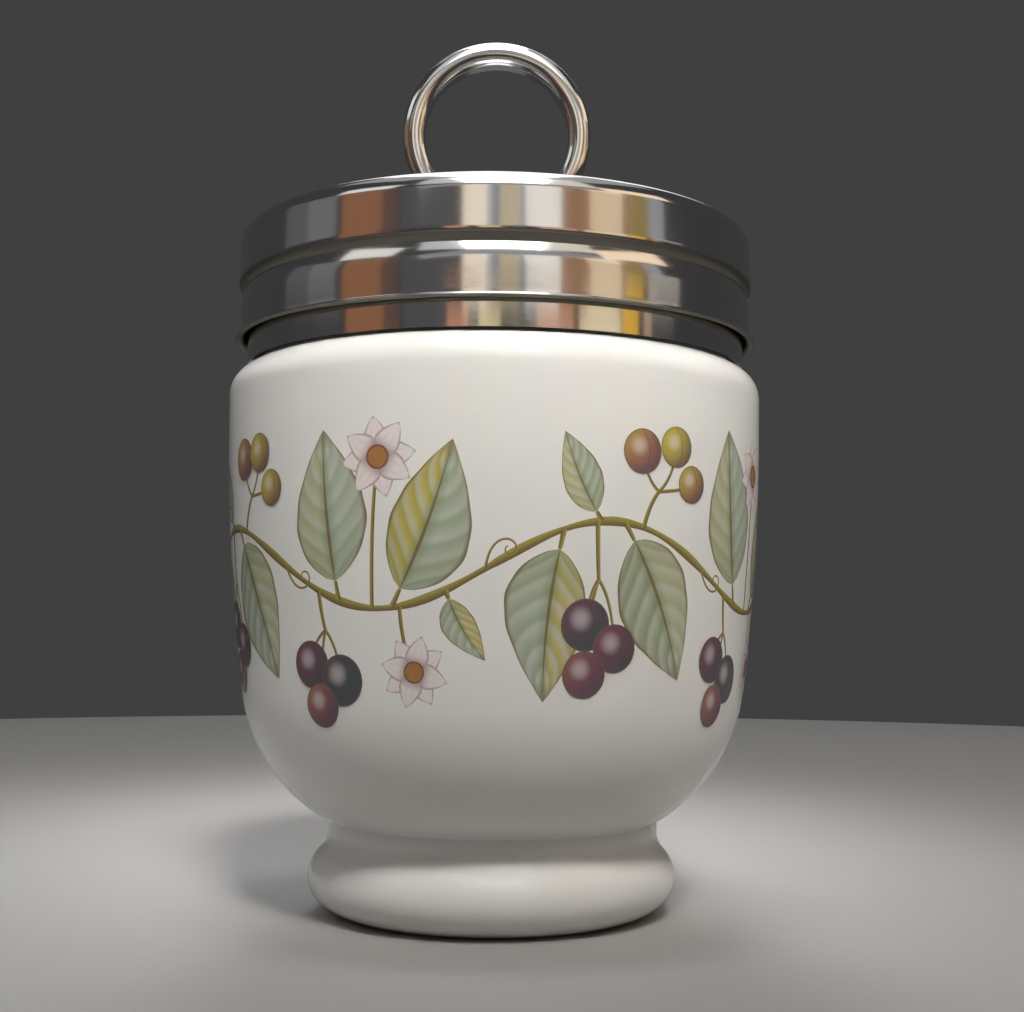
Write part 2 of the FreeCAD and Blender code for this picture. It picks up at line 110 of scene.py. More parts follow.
class CupSettings(bpy.types.PropertyGroup):
    """Sizes of the porcelain cup."""

    body_radius: length("Body radius", CUP_HIGH.x, "Widest radius of the cup's body")
    rim_height: length("Rim height", CUP_HIGH.z, "Height of the rim above the table")
    foot_radius: length("Foot radius", 24.3 * MM, "Widest radius of the foot")
    foot_widest: length("Foot's widest height", 4.8 * MM, "Height of the foot's widest point")
    heel_round: length("Heel round", 4.0 * MM, "Rounding just below the foot's widest point")
    heel_turn: FloatProperty(name="Heel turn", description="Angle of the heel's rounding, before it flattens",
                             default=math.radians(50), min=0.1, max=1.5, subtype="ANGLE")
    foot_upper_round: length("Foot top round", 4.9 * MM, "Rounding from the foot's widest point to the waist")
    foot_ring_width: length("Foot ring width", 2.2 * MM, "Bare ring that stands on the table")
    recess_draft: length("Recess draft", 1.4 * MM, "How much the hollow under the foot narrows")
    recess_round: length("Recess round", 2.0 * MM, "Rounding inside the hollow's corner")
    floor_thickness: length("Floor thickness", 4.4 * MM, "Porcelain between the bowl and the hollow")
    waist_set_in: length("Waist set-in", 2.45 * MM, "How far the waist lies inside the foot")
    waist_cove: length("Waist cove", 3.4 * MM, "Cove that leads from the foot into the waist")
    waist_band: length("Waist band", 1.5 * MM, "Straight band of the waist")
    bowl_round: length("Bowl round", 22.5 * MM, "Rounding of the bowl's lower corner")
    side_curve: length("Side curve", 278.0 * MM, "Radius of the slightly bowed side")
    side_rise: length("Side rise", 33.4 * MM, "Height of the bowed side")
    side_straight: length("Straight side", 4.8 * MM, "Straight side below the shoulder")
    shoulder_round: length("Shoulder round", 4.0 * MM, "Rounding of the shoulder")
    wall: length("Wall", 3.6 * MM, "Wall of the bowl")
    shoulder_wall: length("Shoulder wall", 4.1 * MM, "Wall through the shoulder")
    inner_bend: length("Inner bend", 3.6 * MM, "Bends where the inside narrows to the neck")
    neck_set_in: length("Neck set-in", 4.3 * MM, "How far the neck lies inside the body")
    neck_wall: length("Neck wall", 2.9 * MM, "Wall of the neck")
    rim_round: length("Rim round", 1.2 * MM, "Rounding of the rim")
    thread_lead: length("Thread lead", 4.0 * MM, "Rise of the neck's ridge in one turn")
    thread_turns: FloatProperty(name="Thread turns", description="Length of the neck's ridge, in turns",
                                default=1.3, min=0.2, max=4.0)
    thread_depth: length("Thread depth", 0.95 * MM, "How far the neck's ridge stands out")
    thread_crest: length("Thread crest", 0.9 * MM, "Width of the neck's ridge at its crest")
    thread_drop: length("Thread drop", 2.2 * MM, "From the rim down to the top end of the ridge")
    lathe_steps: IntProperty(name="Lathe steps", description="Faces round the cup",
                             default=224, min=48, max=360)


class LidSettings(bpy.types.PropertyGroup):
    """Sizes of the lid's outer shell and of the finger ring."""

    lip_radius: length("Lip radius", COVER_HIGH.x, "Outer radius of the turned-out lip")
    lip_height: length("Lip height", COVER_LOW.z, "Height of the lip's edge above the table")
    dome_top: length("Dome top", COVER_HIGH.z, "Height of the lid's middle")
    cover_sheet: length("Cover sheet", 0.4 * MM, "Sheet of the outer shell")
    lip_out: length("Lip turn-out", 0.6 * MM, "How far the lip turns out from the lower band")
    lip_bend: length("Lip bend", 0.3 * MM, "Outer radius of the bend into the lip")
    lip_bevel: length("Lip bevel", 0.28 * MM, "Bevel under the lip's cut edge")
    band_set_out: length("Band set-out", 0.25 * MM, "How far the upper band stands out past the lower one")
    groove_depth: length("Groove depth", 0.7 * MM, "Depth of the rolled groove")
    groove_upper_slope: length("Groove upper slope", 1.3 * MM, "Height of the groove's upper flank")
    groove_lower_slope: length("Groove lower slope", 2.5 * MM, "Height of the groove's lower flank")
    groove_upper_curve: length("Groove upper curve", 2.2 * MM, "Curve of the groove's upper flank")
    band_drop: length("Upper band drop", 6.95 * MM, "From the flat top down to the groove")
    band_taper: length("Upper band taper", 0.15 * MM, "How much the upper band narrows towards its top")
    cover_corner: length("Top edge round", 2.3 * MM, "Rounding of the top edge")
    dome_margin: length("Dome margin", 6.35 * MM, "Flat ring between the rounded edge and the dome")
    dome_height: length("Dome height", 0.4 * MM, "Height of the dome")
    hole_radius: length("Hole radius", 2.05 * MM, "Hole for the boss's shank")
    ring_thickness: length("Ring thickness", 3.0 * MM, "Section of the ring, across it")
    ring_edge_round: length("Ring edge round", 0.9 * MM, "Rounding of the ring's edges")
    ring_edge_turn: FloatProperty(name="Ring edge turn", description="Angle of the edges' rounding",
                                  default=math.radians(58), min=0.1, max=1.5, subtype="ANGLE")
    lathe_steps: IntProperty(name="Lathe steps", description="Faces round the lid",
                             default=208, min=48, max=360)


class GarlandSettings(bpy.types.PropertyGroup):
    """Layout and colours of the printed garland."""

    repeats: IntProperty(name="Repeats", description="How often the spray repeats round the cup",
                         default=4, min=1, max=8)
    vine_height: length("Vine height", 44.5 * MM, "Middle of the vine above the table")
    vine_swing: length("Vine swing", 5.0 * MM, "How far the vine swings up and down")
    vine_width: length("Vine width", 0.85 * MM, "Width of the vine")
    seed: IntProperty(name="Variation", description="Seed of the small differences between repeats",
                      default=5)
    sage: colour("Sage", "BACBBC", "Cool side of a leaf")
    pale: colour("Pale sage", "DDE2D9", "Lightest wash of a leaf")
    olive: colour("Olive", "78824B", "Shaded side of a leaf")
    gold: colour("Gold green", "CDB62E", "Sunlit side of a leaf")
    dry: colour("Dry patch", "A07E4B", "Browned patches of a leaf")
    umber: colour("Umber", "6F5735", "Veins, edges and stems")
    unripe: colour("Unripe fruit", "B5A63C", "Fruit before it colours")
    blush: colour("Blushing fruit", "94604C", "Fruit that begins to colour")
    plum: colour("Plum", "70384F", "Ripe fruit")
    sloe: colour("Sloe", "3B4348", "Overripe fruit")
    petal: colour("Petal", "EDE3E0", "Petals of the daisies")
    petal_line: colour("Petal line", "9C7D7A", "Outlines and streaks of the petals")
    stamen: colour("Stamen", "D9A63A", "Middle of the daisies")


class FinishSettings(bpy.types.PropertyGroup):
    """Colours of the porcelain, the metals and the seal."""

    porcelain: colour("Porcelain", "EFEEEA", "Porcelain under its clear glaze")
    porcelain_warm: colour("Warm porcelain", "EEEAE1", "Porcelain where the glaze is thin")
    # Pooled glaze in the crease above the foot, which also serves as painted shade in that crease.
    pooled_glaze_and_shade: colour("Pooled glaze", "DADCD8", "Porcelain under thick glaze")
    biscuit: colour("Biscuit", "DDD2BF", "Bare porcelain of the foot ring")
    chrome: colour("Chrome", "DAD9D8", "Bright chromium plate")
    steel: colour("Steel", "B9B8B5", "Plain stamped steel")
    # Unpolished inside of the cover, and painted shade on the cover's down-facing faces.
    unpolished_and_shade: colour("Unpolished inside", "706B5C", "Inside of the spun cover and under its edges")
    rubber: colour("Rubber", "CFC7B6", "Pale food-grade rubber")


class StudioSettings(bpy.types.PropertyGroup):
    """Camera, floor and lights."""

    lens: FloatProperty(name="Lens", description="Focal length", default=52.45, min=1.0, unit="CAMERA")
    distance: length("Camera distance", 199.6 * MM, "From the coddler's axis to the camera")
    height: length("Camera height", 37.64 * MM, "Height of the camera above the table")
    tilt: FloatProperty(name="Tilt", description="Upward tilt",
                        default=math.radians(1.5), subtype="ANGLE")
    turn: FloatProperty(name="Turn", description="Turn to the right",
                        default=math.radians(0.71), subtype="ANGLE")
    roll: FloatProperty(name="Roll", description="Roll to the left",
                        default=math.radians(0.4), subtype="ANGLE")
    shift: FloatProperty(name="Shift", description="Upward shift of the lens", default=0.0789)
    floor_radius: length("Floor radius", 430.0 * MM, "Radius of the round table top")
    floor: colour("Floor", "AFAEAC", "Plain pale table top")
    backdrop: colour("Backdrop", "404041", "Plain grey behind the table")
    fill: FloatProperty(name="Fill", description="Brightness of the light from all round",
                        default=0.07, min=0.0)
    soft_light: FloatProperty(name="Soft boxes", description="Brightness of the soft boxes",
                              default=1.0, min=0.0)


# ----------------------------------------------------------- modelling


def settings():
    """All sidebar settings of this scene."""
    return bpy.context.scene.coddler


def start_clean():
    """Leaves edit mode and deselects everything."""
    if bpy.context.object and bpy.context.object.mode != "OBJECT":
        bpy.ops.object.mode_set(mode="OBJECT")
    bpy.ops.object.select_all(action="DESELECT")


def trace_outline(corners, longest):
    """The points along an outline of (radius, height) corners.

    A corner may also name the radius of the arc that leads to it and its turn, +1 for
    anticlockwise and -1 for clockwise. No edge is longer than the given length.
    """
    points = [Vector(corners[0])]
    for corner in corners[1:]:
        start, end = points[-1], Vector(corner[:2])
        chord = end - start
        if len(corner) == 2:
            count = math.ceil(chord.length / longest)
            points += [start + chord * step / count for step in range(1, count + 1)]
            continue
        radius, turn = corner[2:]
        half = min(chord.length / 2 / radius, 1.0)
        side = Vector((-chord.y, chord.x)).normalized()
        centre = (start + end) / 2 + side * (radius * math.sqrt(1 - half ** 2) * turn)
        sweep = 2 * math.asin(half) * turn
        count = max(LEAST_STEPS, math.ceil(abs(sweep) / ARC_STEP), math.ceil(abs(sweep) * radius / longest))
        spoke = start - centre
        points += [centre + Matrix.Rotation(sweep * step / count, 2) @ spoke for step in range(1, count + 1)]
    return points


def draw_wire(name, points):
    """A new object in edit mode that holds one open line through the points."""
    start_clean()
    bpy.ops.mesh.primitive_plane_add(size=MM)
    piece = bpy.context.object
    piece.name = piece.data.name = name
    bpy.ops.object.mode_set(mode="EDIT")
    bpy.ops.mesh.merge(type="CENTER")
    bpy.ops.transform.translate(value=points[0])
    for start, end in zip(points, points[1:]):
        bpy.ops.mesh.extrude_vertices_move(TRANSFORM_OT_translate={"value": end - start})
    bpy.ops.mesh.select_all(action="SELECT")
    return piece


def close_up(piece):
    """Merges what meets, turns the faces outwards and shades the rounds smooth."""
    bpy.ops.mesh.select_all(action="SELECT")
    bpy.ops.mesh.remove_doubles(threshold=MERGE_GAP)
    bpy.ops.mesh.normals_make_consistent(inside=False)
    bpy.ops.object.mode_set(mode="OBJECT")
    bpy.ops.object.shade_smooth_by_angle(angle=SMOOTH_ANGLE)
    return piece


def turn_on_lathe(name, outline, steps, centre=(0.0, 0.0, 0.0), axis=(0.0, 0.0, 1.0)):
    """Turns an outline of (radius, height along the axis) once round the axis."""
    middle, along = Vector(centre), Vector(axis)
    piece = draw_wire(name, [middle + Vector((point.x, 0, 0)) + along * point.y for point in outline])
    bpy.ops.mesh.spin(steps=steps, angle=math.tau, center=middle, axis=along)
    return close_up(piece)


def place_on(piece, body, slot, material, *nodes):
    """Gives a finished piece its body and material and hides the solids that it stands for. Its slot is not
    used.
    """
    piece.data.materials.clear()
    piece.data.materials.append(material)
    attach(piece, body)
    if nodes:
        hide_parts(*nodes)


# ----------------------------------------------------------- materials


def add_node(tree, kind, *inputs, output=0, stops=(), **values):
    """Adds a node with its settings, inputs and ramp stops, and returns one of its outputs."""
    node = tree.nodes.new("ShaderNode" + kind)
    for name, value in values.items():
        setattr(node, name, value)
    for index, (position, shade) in enumerate(stops):
        ramp = node.color_ramp.elements
        stop = ramp[index] if index < 2 else ramp.new(position)
        stop.position, stop.color = position, (*shade, 1.0)
    open_inputs = [socket for socket in node.inputs if socket.enabled]
    for socket, value in zip(open_inputs, inputs):
        if isinstance(value, bpy.types.NodeSocket):
            tree.links.new(value, socket)
        elif value is not None:
            four = socket.type == "RGBA" and len(value) == 3
            socket.default_value = (*value, 1.0) if four else value
    open_outputs = [socket for socket in node.outputs if socket.enabled]
    return node.outputs[output] if isinstance(output, str) else open_outputs[output]


def start_material(name, base, **values):
    """A new material with a Principled shader that holds these constant values."""
    material = bpy.data.materials.new(name)
    material.use_nodes = True
    shader = material.node_tree.nodes["Principled BSDF"]
    shader.inputs["Base Color"].default_value = (*base, 1.0)
    for socket, value in values.items():
        shader.inputs[socket.replace("_", " ")].default_value = value
    return material, material.node_tree, shader


def glazed_porcelain():
    """Cast hard porcelain, biscuit fired, dipped in clear glaze and fired glossy.

    It is creamy and mirror smooth with a faint orange peel. The glaze is thin and warm on the
    rim and is wiped off the ring that stands on the table. Round the crease above the foot the colour
    is greyer and darker: glaze that pools there, and painted shade in the crease.
    """
    finish, cup = settings().finish, settings().cup
    material, tree, shader = start_material("glazed_porcelain", finish.porcelain, IOR=1.5)
    place = add_node(tree, "TexCoord", output="Object")
    height = add_node(tree, "SeparateXYZ", place, output="Z")
    flat = add_node(tree, "VectorMath", place, (1.0, 1.0, 0.0), operation="MULTIPLY")
    radius = add_node(tree, "VectorMath", flat, operation="LENGTH", output="Value")
    cloud = add_node(tree, "TexNoise", place, None, 1 / (22 * MM), 3.0)
    body = add_node(tree, "Mix", add_node(tree, "MapRange", cloud, 0.35, 0.75, 0.0, 0.6),
                    finish.porcelain, finish.porcelain_warm, data_type="RGBA")
    # Greyer and darker round the crease above the foot: pooled glaze, and painted shade in the crease.
    crease = cup_sizes()["crease_height"]
    above = add_node(tree, "Math", height, crease, operation="SUBTRACT")
    away = add_node(tree, "Math", above, operation="ABSOLUTE")
    pool_and_shade = add_node(tree, "MapRange", away, 0.0, 1.6 * MM, 0.65, 0.0, interpolation_type="SMOOTHSTEP")
    outside = add_node(tree, "Math", radius, cup_sizes()["foot_ring"], operation="GREATER_THAN")
    pool_and_shade_outside = add_node(tree, "Math", pool_and_shade, outside, operation="MULTIPLY")
    glazed = add_node(tree, "Mix", pool_and_shade_outside, body, finish.pooled_glaze_and_shade, data_type="RGBA")
    thin = add_node(tree, "MapRange", height, cup.rim_height - 0.8 * MM, cup.rim_height, 0.0, 0.6)
    rimmed = add_node(tree, "Mix", thin, glazed, finish.porcelain_warm, data_type="RGBA")
    wander = add_node(tree, "TexNoise", place, None, 1 / (5 * MM), 2.0)
    edge = add_node(tree, "MapRange", wander, 0.0, 1.0, 0.15 * MM, 0.65 * MM)
    low = add_node(tree, "Math", height, edge, operation="LESS_THAN")
    grit = add_node(tree, "TexNoise", place, None, 1 / (0.35 * MM), 4.0)
    bare_shade = add_node(tree, "Mix", grit, finish.biscuit, finish.porcelain_warm, data_type="RGBA")
    skin = add_node(tree, "Mix", low, rimmed, bare_shade, data_type="RGBA")
    tree.links.new(skin, shader.inputs["Base Color"])
    smudge = add_node(tree, "TexNoise", place, None, 1 / (14 * MM), 4.0)
    gloss = add_node(tree, "MapRange", smudge, 0.3, 0.8, 0.07, 0.15)
    tree.links.new(add_node(tree, "Mix", low, gloss, 0.75), shader.inputs["Roughness"])
    peel = add_node(tree, "TexNoise", place, None, 1 / (3.5 * MM), 2.0)
    relief = add_node(tree, "Mix", low, peel, grit)
    tree.links.new(add_node(tree, "Bump", 0.25, 0.03 * MM, relief), shader.inputs["Normal"])
    return material


def printed(name, base):
    """A ceramic transfer that has melted into the glaze: as glossy as the glaze round it."""
    return start_material(name, base, IOR=1.5, Roughness=0.11)


def stipple(tree, place, shade):
    """The shade as the transfer prints it: in fine dots that let a little of the porcelain through."""
    dots = add_node(tree, "TexNoise", place, None, 1 / (0.24 * MM), 2.0)
    share = add_node(tree, "MapRange", dots, 0.48, 0.72, 0.0, 0.26)
    return add_node(tree, "Mix", share, shade, settings().garland.petal, data_type="RGBA")


def printed_leaf():
    """Leaf of the transfer: layered washes, cool on one half and sunlit on the other.

    The map runs from the stalk to the tip along U and across the blade along V.
    """
    look = settings().garland
    material, tree, shader = printed("transfer_print_leaf", look.sage)
    chart = add_node(tree, "UVMap", uv_map="UVMap")
    along = add_node(tree, "SeparateXYZ", chart, output="X")
    across = add_node(tree, "SeparateXYZ", chart, output="Y")
    signed = add_node(tree, "MapRange", across, 0.0, 1.0, -1.0, 1.0)
    out = add_node(tree, "Math", signed, operation="ABSOLUTE")
    tint = add_node(tree, "Attribute", attribute_name="tint", output="Color")
    warmth = add_node(tree, "SeparateColor", tint, output="Red")
    depth = add_node(tree, "SeparateColor", tint, output="Green")
    place = add_node(tree, "TexCoord", output="Object")
    # The two halves of the blade take the light differently.
    half = add_node(tree, "MapRange", signed, -0.12, 0.12, 0.0, 1.0, interpolation_type="SMOOTHSTEP")
    cool = add_node(tree, "Mix", depth, look.sage, look.olive, data_type="RGBA")
    sunny = add_node(tree, "Mix", warmth, look.sage, look.gold, data_type="RGBA")
    blade = add_node(tree, "Mix", half, cool, sunny, data_type="RGBA")
    # Side veins lean towards the tip: a slanting saw-tooth, with a lit bulge between two veins.
    slant = add_node(tree, "Math", out, 1.35, operation="POWER")
    leaning = add_node(tree, "Math", add_node(tree, "Math", slant, 0.24, operation="MULTIPLY"), -1.0,
                       operation="MULTIPLY")
    phase = add_node(tree, "Math", add_node(tree, "Math", along, leaning), 6.5, operation="MULTIPLY")
    wobble = add_node(tree, "TexNoise", place, None, 1 / (4.5 * MM), 3.0)
    shaken = add_node(tree, "Math", phase, add_node(tree, "MapRange", wobble, 0.0, 1.0, -0.55, 0.55))
    saw = add_node(tree, "Math", shaken, operation="FRACT")
    bulge = add_node(tree, "MapRange", saw, 0.1, 0.95, 0.8, 0.0, interpolation_type="SMOOTHSTEP")
    wash = add_node(tree, "TexNoise", place, None, 1 / (3.2 * MM), 5.0)
    light = add_node(tree, "Math", bulge, add_node(tree, "MapRange", wash, 0.38, 0.6, 0.15, 1.5),
                     operation="MULTIPLY")
    bleached = add_node(tree, "Mix", light, blade, look.pale, data_type="RGBA")
    dry = add_node(tree, "TexNoise", place, None, 1 / (2.4 * MM), 4.0, 0.7)
    patch = add_node(tree, "Math", add_node(tree, "MapRange", dry, 0.46, 0.62, 0.0, 0.8),
                     add_node(tree, "MapRange", out, 0.25, 0.95, 0.0, 1.0), operation="MULTIPLY")
    lit = add_node(tree, "Mix", patch, bleached, look.dry, data_type="RGBA")
    # A net of fine veins between the side veins.
    net = add_node(tree, "TexVoronoi", place, None, 1 / (0.9 * MM), feature="DISTANCE_TO_EDGE",
                   output="Distance")
    lace = add_node(tree, "MapRange", net, 0.0, 0.17, 0.28, 0.0)
    lit = add_node(tree, "Mix", lace, lit, look.olive, data_type="RGBA")
    ripple = add_node(tree, "Math", saw, 0.5, operation="PINGPONG")
    vein = add_node(tree, "MapRange", ripple, 0.0, 0.09, 0.7, 0.0)
    veined = add_node(tree, "Mix", vein, lit, look.olive, data_type="RGBA")
    # The blade darkens towards its midrib and stalk.
    trough = add_node(tree, "MapRange", out, 0.0, 0.32, 0.5, 0.0, interpolation_type="SMOOTHSTEP")
    sunk = add_node(tree, "Mix", trough, veined, look.olive, data_type="RGBA")
    foot = add_node(tree, "MapRange", along, 0.0, 0.35, 0.35, 0.0)
    rooted = add_node(tree, "Mix", foot, sunk, look.olive, data_type="RGBA")
    taper = add_node(tree, "MapRange", along, 0.0, 1.0, 0.055, 0.02)
    rib = add_node(tree, "Math", out, taper, operation="LESS_THAN")
    ribbed = add_node(tree, "Mix", add_node(tree, "Math", rib, 0.8, operation="MULTIPLY"), rooted, look.umber,
                      data_type="RGBA")
    # Brown pen line along the edge, broken like a brush's, and a browned tip.
    broken = add_node(tree, "TexNoise", place, None, 1 / (1.6 * MM), 3.0)
    reach = add_node(tree, "MapRange", broken, 0.3, 0.7, 0.97, 0.85)
    beyond = add_node(tree, "Math", out, reach, operation="SUBTRACT")
    rim = add_node(tree, "MapRange", beyond, 0.0, 0.06, 0.0, 0.9)
    tip = add_node(tree, "MapRange", along, 0.86, 1.0, 0.0, 0.7)
    edge = add_node(tree, "Math", rim, tip, operation="MAXIMUM")
    edged = add_node(tree, "Mix", edge, ribbed, look.umber, data_type="RGBA")
    tree.links.new(stipple(tree, place, edged), shader.inputs["Base Color"])
    return material


def printed_fruit():
    """Round fruit of the transfer: a wash from unripe to overripe with a pale bloom on its lit side.

    The map's middle is the fruit's middle, and its edge is the fruit's edge.
    """
    look = settings().garland
    material, tree, shader = printed("transfer_print_fruit", look.plum)
    chart = add_node(tree, "UVMap", uv_map="UVMap")
    centred = add_node(tree, "VectorMath", chart, (0.5, 0.5, 0.0), operation="SUBTRACT")
    out = add_node(tree, "VectorMath", centred, operation="LENGTH", output="Value")
    ripe = add_node(tree, "SeparateColor", add_node(tree, "Attribute", attribute_name="tint", output="Color"),
                    output="Red")
    place = add_node(tree, "TexCoord", output="Object")
    mottle = add_node(tree, "TexNoise", place, None, 1 / (1.3 * MM), 3.0)
    # The lit side ripens later than the far side.
    lean = add_node(tree, "VectorMath", centred, (0.7, -0.7, 0.0), operation="DOT_PRODUCT", output="Value")
    uneven = add_node(tree, "Math", ripe, add_node(tree, "MapRange", mottle, 0.0, 1.0, -0.2, 0.2))
    ripened = add_node(tree, "Math", uneven, add_node(tree, "Math", lean, 0.32, operation="MULTIPLY"))
    skin = add_node(tree, "ValToRGB", ripened,
                    stops=((0.0, look.unripe), (0.3, look.blush), (0.62, look.plum), (1.0, look.sloe)))
    shade = add_node(tree, "VectorMath", centred, (0.12, -0.12, 0.0), operation="ADD")
    dark = add_node(tree, "VectorMath", shade, operation="LENGTH", output="Value")
    shadow = add_node(tree, "MapRange", dark, 0.3, 0.62, 0.0, 0.55, interpolation_type="SMOOTHSTEP")
    modelled = add_node(tree, "Mix", shadow, skin, look.sloe, data_type="RGBA")
    # A crescent of bloom on the lit side, and the seam that runs from the stalk to the tip.
    spot = add_node(tree, "VectorMath", centred, (0.1, -0.12, 0.0), operation="ADD")
    near = add_node(tree, "VectorMath", spot, operation="LENGTH", output="Value")
    bloom = add_node(tree, "MapRange", near, 0.04, 0.3, 0.5, 0.0, interpolation_type="SMOOTHSTEP")
    patchy = add_node(tree, "Math", bloom, add_node(tree, "MapRange", mottle, 0.3, 0.65, 0.35, 1.25),
                      operation="MULTIPLY")
    bloomed = add_node(tree, "Mix", patchy, modelled, look.petal, data_type="RGBA")
    across = add_node(tree, "SeparateXYZ", centred, output="X")
    up = add_node(tree, "SeparateXYZ", centred, output="Y")
    squared = add_node(tree, "Math", up, up, operation="MULTIPLY")
    bow = add_node(tree, "Math", squared, 0.9, operation="MULTIPLY")
    aside = add_node(tree, "Math", add_node(tree, "Math", across, bow), 0.19, operation="SUBTRACT")
    from_seam = add_node(tree, "Math", aside, operation="ABSOLUTE")
    seam = add_node(tree, "MapRange", from_seam, 0.0, 0.035, 0.45, 0.0)
    seamed = add_node(tree, "Mix", seam, bloomed, look.sloe, data_type="RGBA")
    line = add_node(tree, "MapRange", out, 0.455, 0.49, 0.0, 0.7)
    outlined = add_node(tree, "Mix", line, seamed, look.umber, data_type="RGBA")
    tree.links.new(stipple(tree, place, outlined), shader.inputs["Base Color"])
    return material


def printed_petal():
    """Petal of the transfer: nearly bare glaze with streaks and a pen line, deeper at its foot."""
    look = settings().garland
    material, tree, shader = printed("transfer_print_petal", look.petal)
    chart = add_node(tree, "UVMap", uv_map="UVMap")
    along = add_node(tree, "SeparateXYZ", chart, output="X")
    across = add_node(tree, "SeparateXYZ", chart, output="Y")
    signed = add_node(tree, "MapRange", across, 0.0, 1.0, -1.0, 1.0)
    out = add_node(tree, "Math", signed, operation="ABSOLUTE")
    streak = add_node(tree, "MapRange", add_node(tree, "Math", across, 0.167, operation="PINGPONG"),
                      0.0, 0.06, 0.45, 0.0)
    fade = add_node(tree, "MapRange", along, 0.15, 0.85, 1.0, 0.0)
    streaks = add_node(tree, "Math", streak, fade, operation="MULTIPLY")
    foot = add_node(tree, "MapRange", along, 0.15, 0.55, 0.8, 0.0, interpolation_type="SMOOTHSTEP")
    inner = add_node(tree, "Math", streaks, foot, operation="MAXIMUM")
    rim = add_node(tree, "MapRange", out, 0.72, 1.0, 0.0, 0.85)
    tip = add_node(tree, "MapRange", along, 0.9, 1.0, 0.0, 0.8)
    edge = add_node(tree, "Math", rim, tip, operation="MAXIMUM")
    line = add_node(tree, "Math", edge, inner, operation="MAXIMUM")
    tree.links.new(add_node(tree, "Mix", line, look.petal, look.petal_line, data_type="RGBA"),
                   shader.inputs["Base Color"])
    return material


def printed_stamen():
    """Middle of a daisy: ochre dabs with a dark ring."""
    look = settings().garland
    material, tree, shader = printed("transfer_print_stamen", look.stamen)
    chart = add_node(tree, "UVMap", uv_map="UVMap")
    centred = add_node(tree, "VectorMath", chart, (0.5, 0.5, 0.0), operation="SUBTRACT")
    out = add_node(tree, "VectorMath", centred, operation="LENGTH", output="Value")
    dabs = add_node(tree, "TexVoronoi", chart, None, 7.0, output="Distance")
    dotted = add_node(tree, "Mix", add_node(tree, "MapRange", dabs, 0.3, 0.75, 0.0, 0.7),
                      look.stamen, look.blush, data_type="RGBA")
    ring = add_node(tree, "MapRange", out, 0.36, 0.49, 0.0, 0.75, interpolation_type="SMOOTHSTEP")
    ringed = add_node(tree, "Mix", ring, dotted, look.plum, data_type="RGBA")
    tree.links.new(ringed, shader.inputs["Base Color"])
    return material


def printed_stem():
    """Stem of the transfer: umber along one edge and olive to gold green towards the other, fading in places.
    """
    look = settings().garland
    material, tree, shader = printed("transfer_print_stem", look.umber)
    chart = add_node(tree, "UVMap", uv_map="UVMap")
    across = add_node(tree, "SeparateXYZ", chart, output="Y")
    place = add_node(tree, "TexCoord", output="Object")
    wash = add_node(tree, "TexNoise", place, None, 1 / (6.0 * MM), 3.0)
    green = add_node(tree, "Mix", add_node(tree, "MapRange", wash, 0.35, 0.65, 0.0, 1.0),
                     look.olive, look.gold, data_type="RGBA")
    shade = add_node(tree, "MapRange", across, 0.25, 0.8, 0.9, 0.15)
    stem = add_node(tree, "Mix", shade, green, look.umber, data_type="RGBA")
    tree.links.new(stipple(tree, place, stem), shader.inputs["Base Color"])
    return material


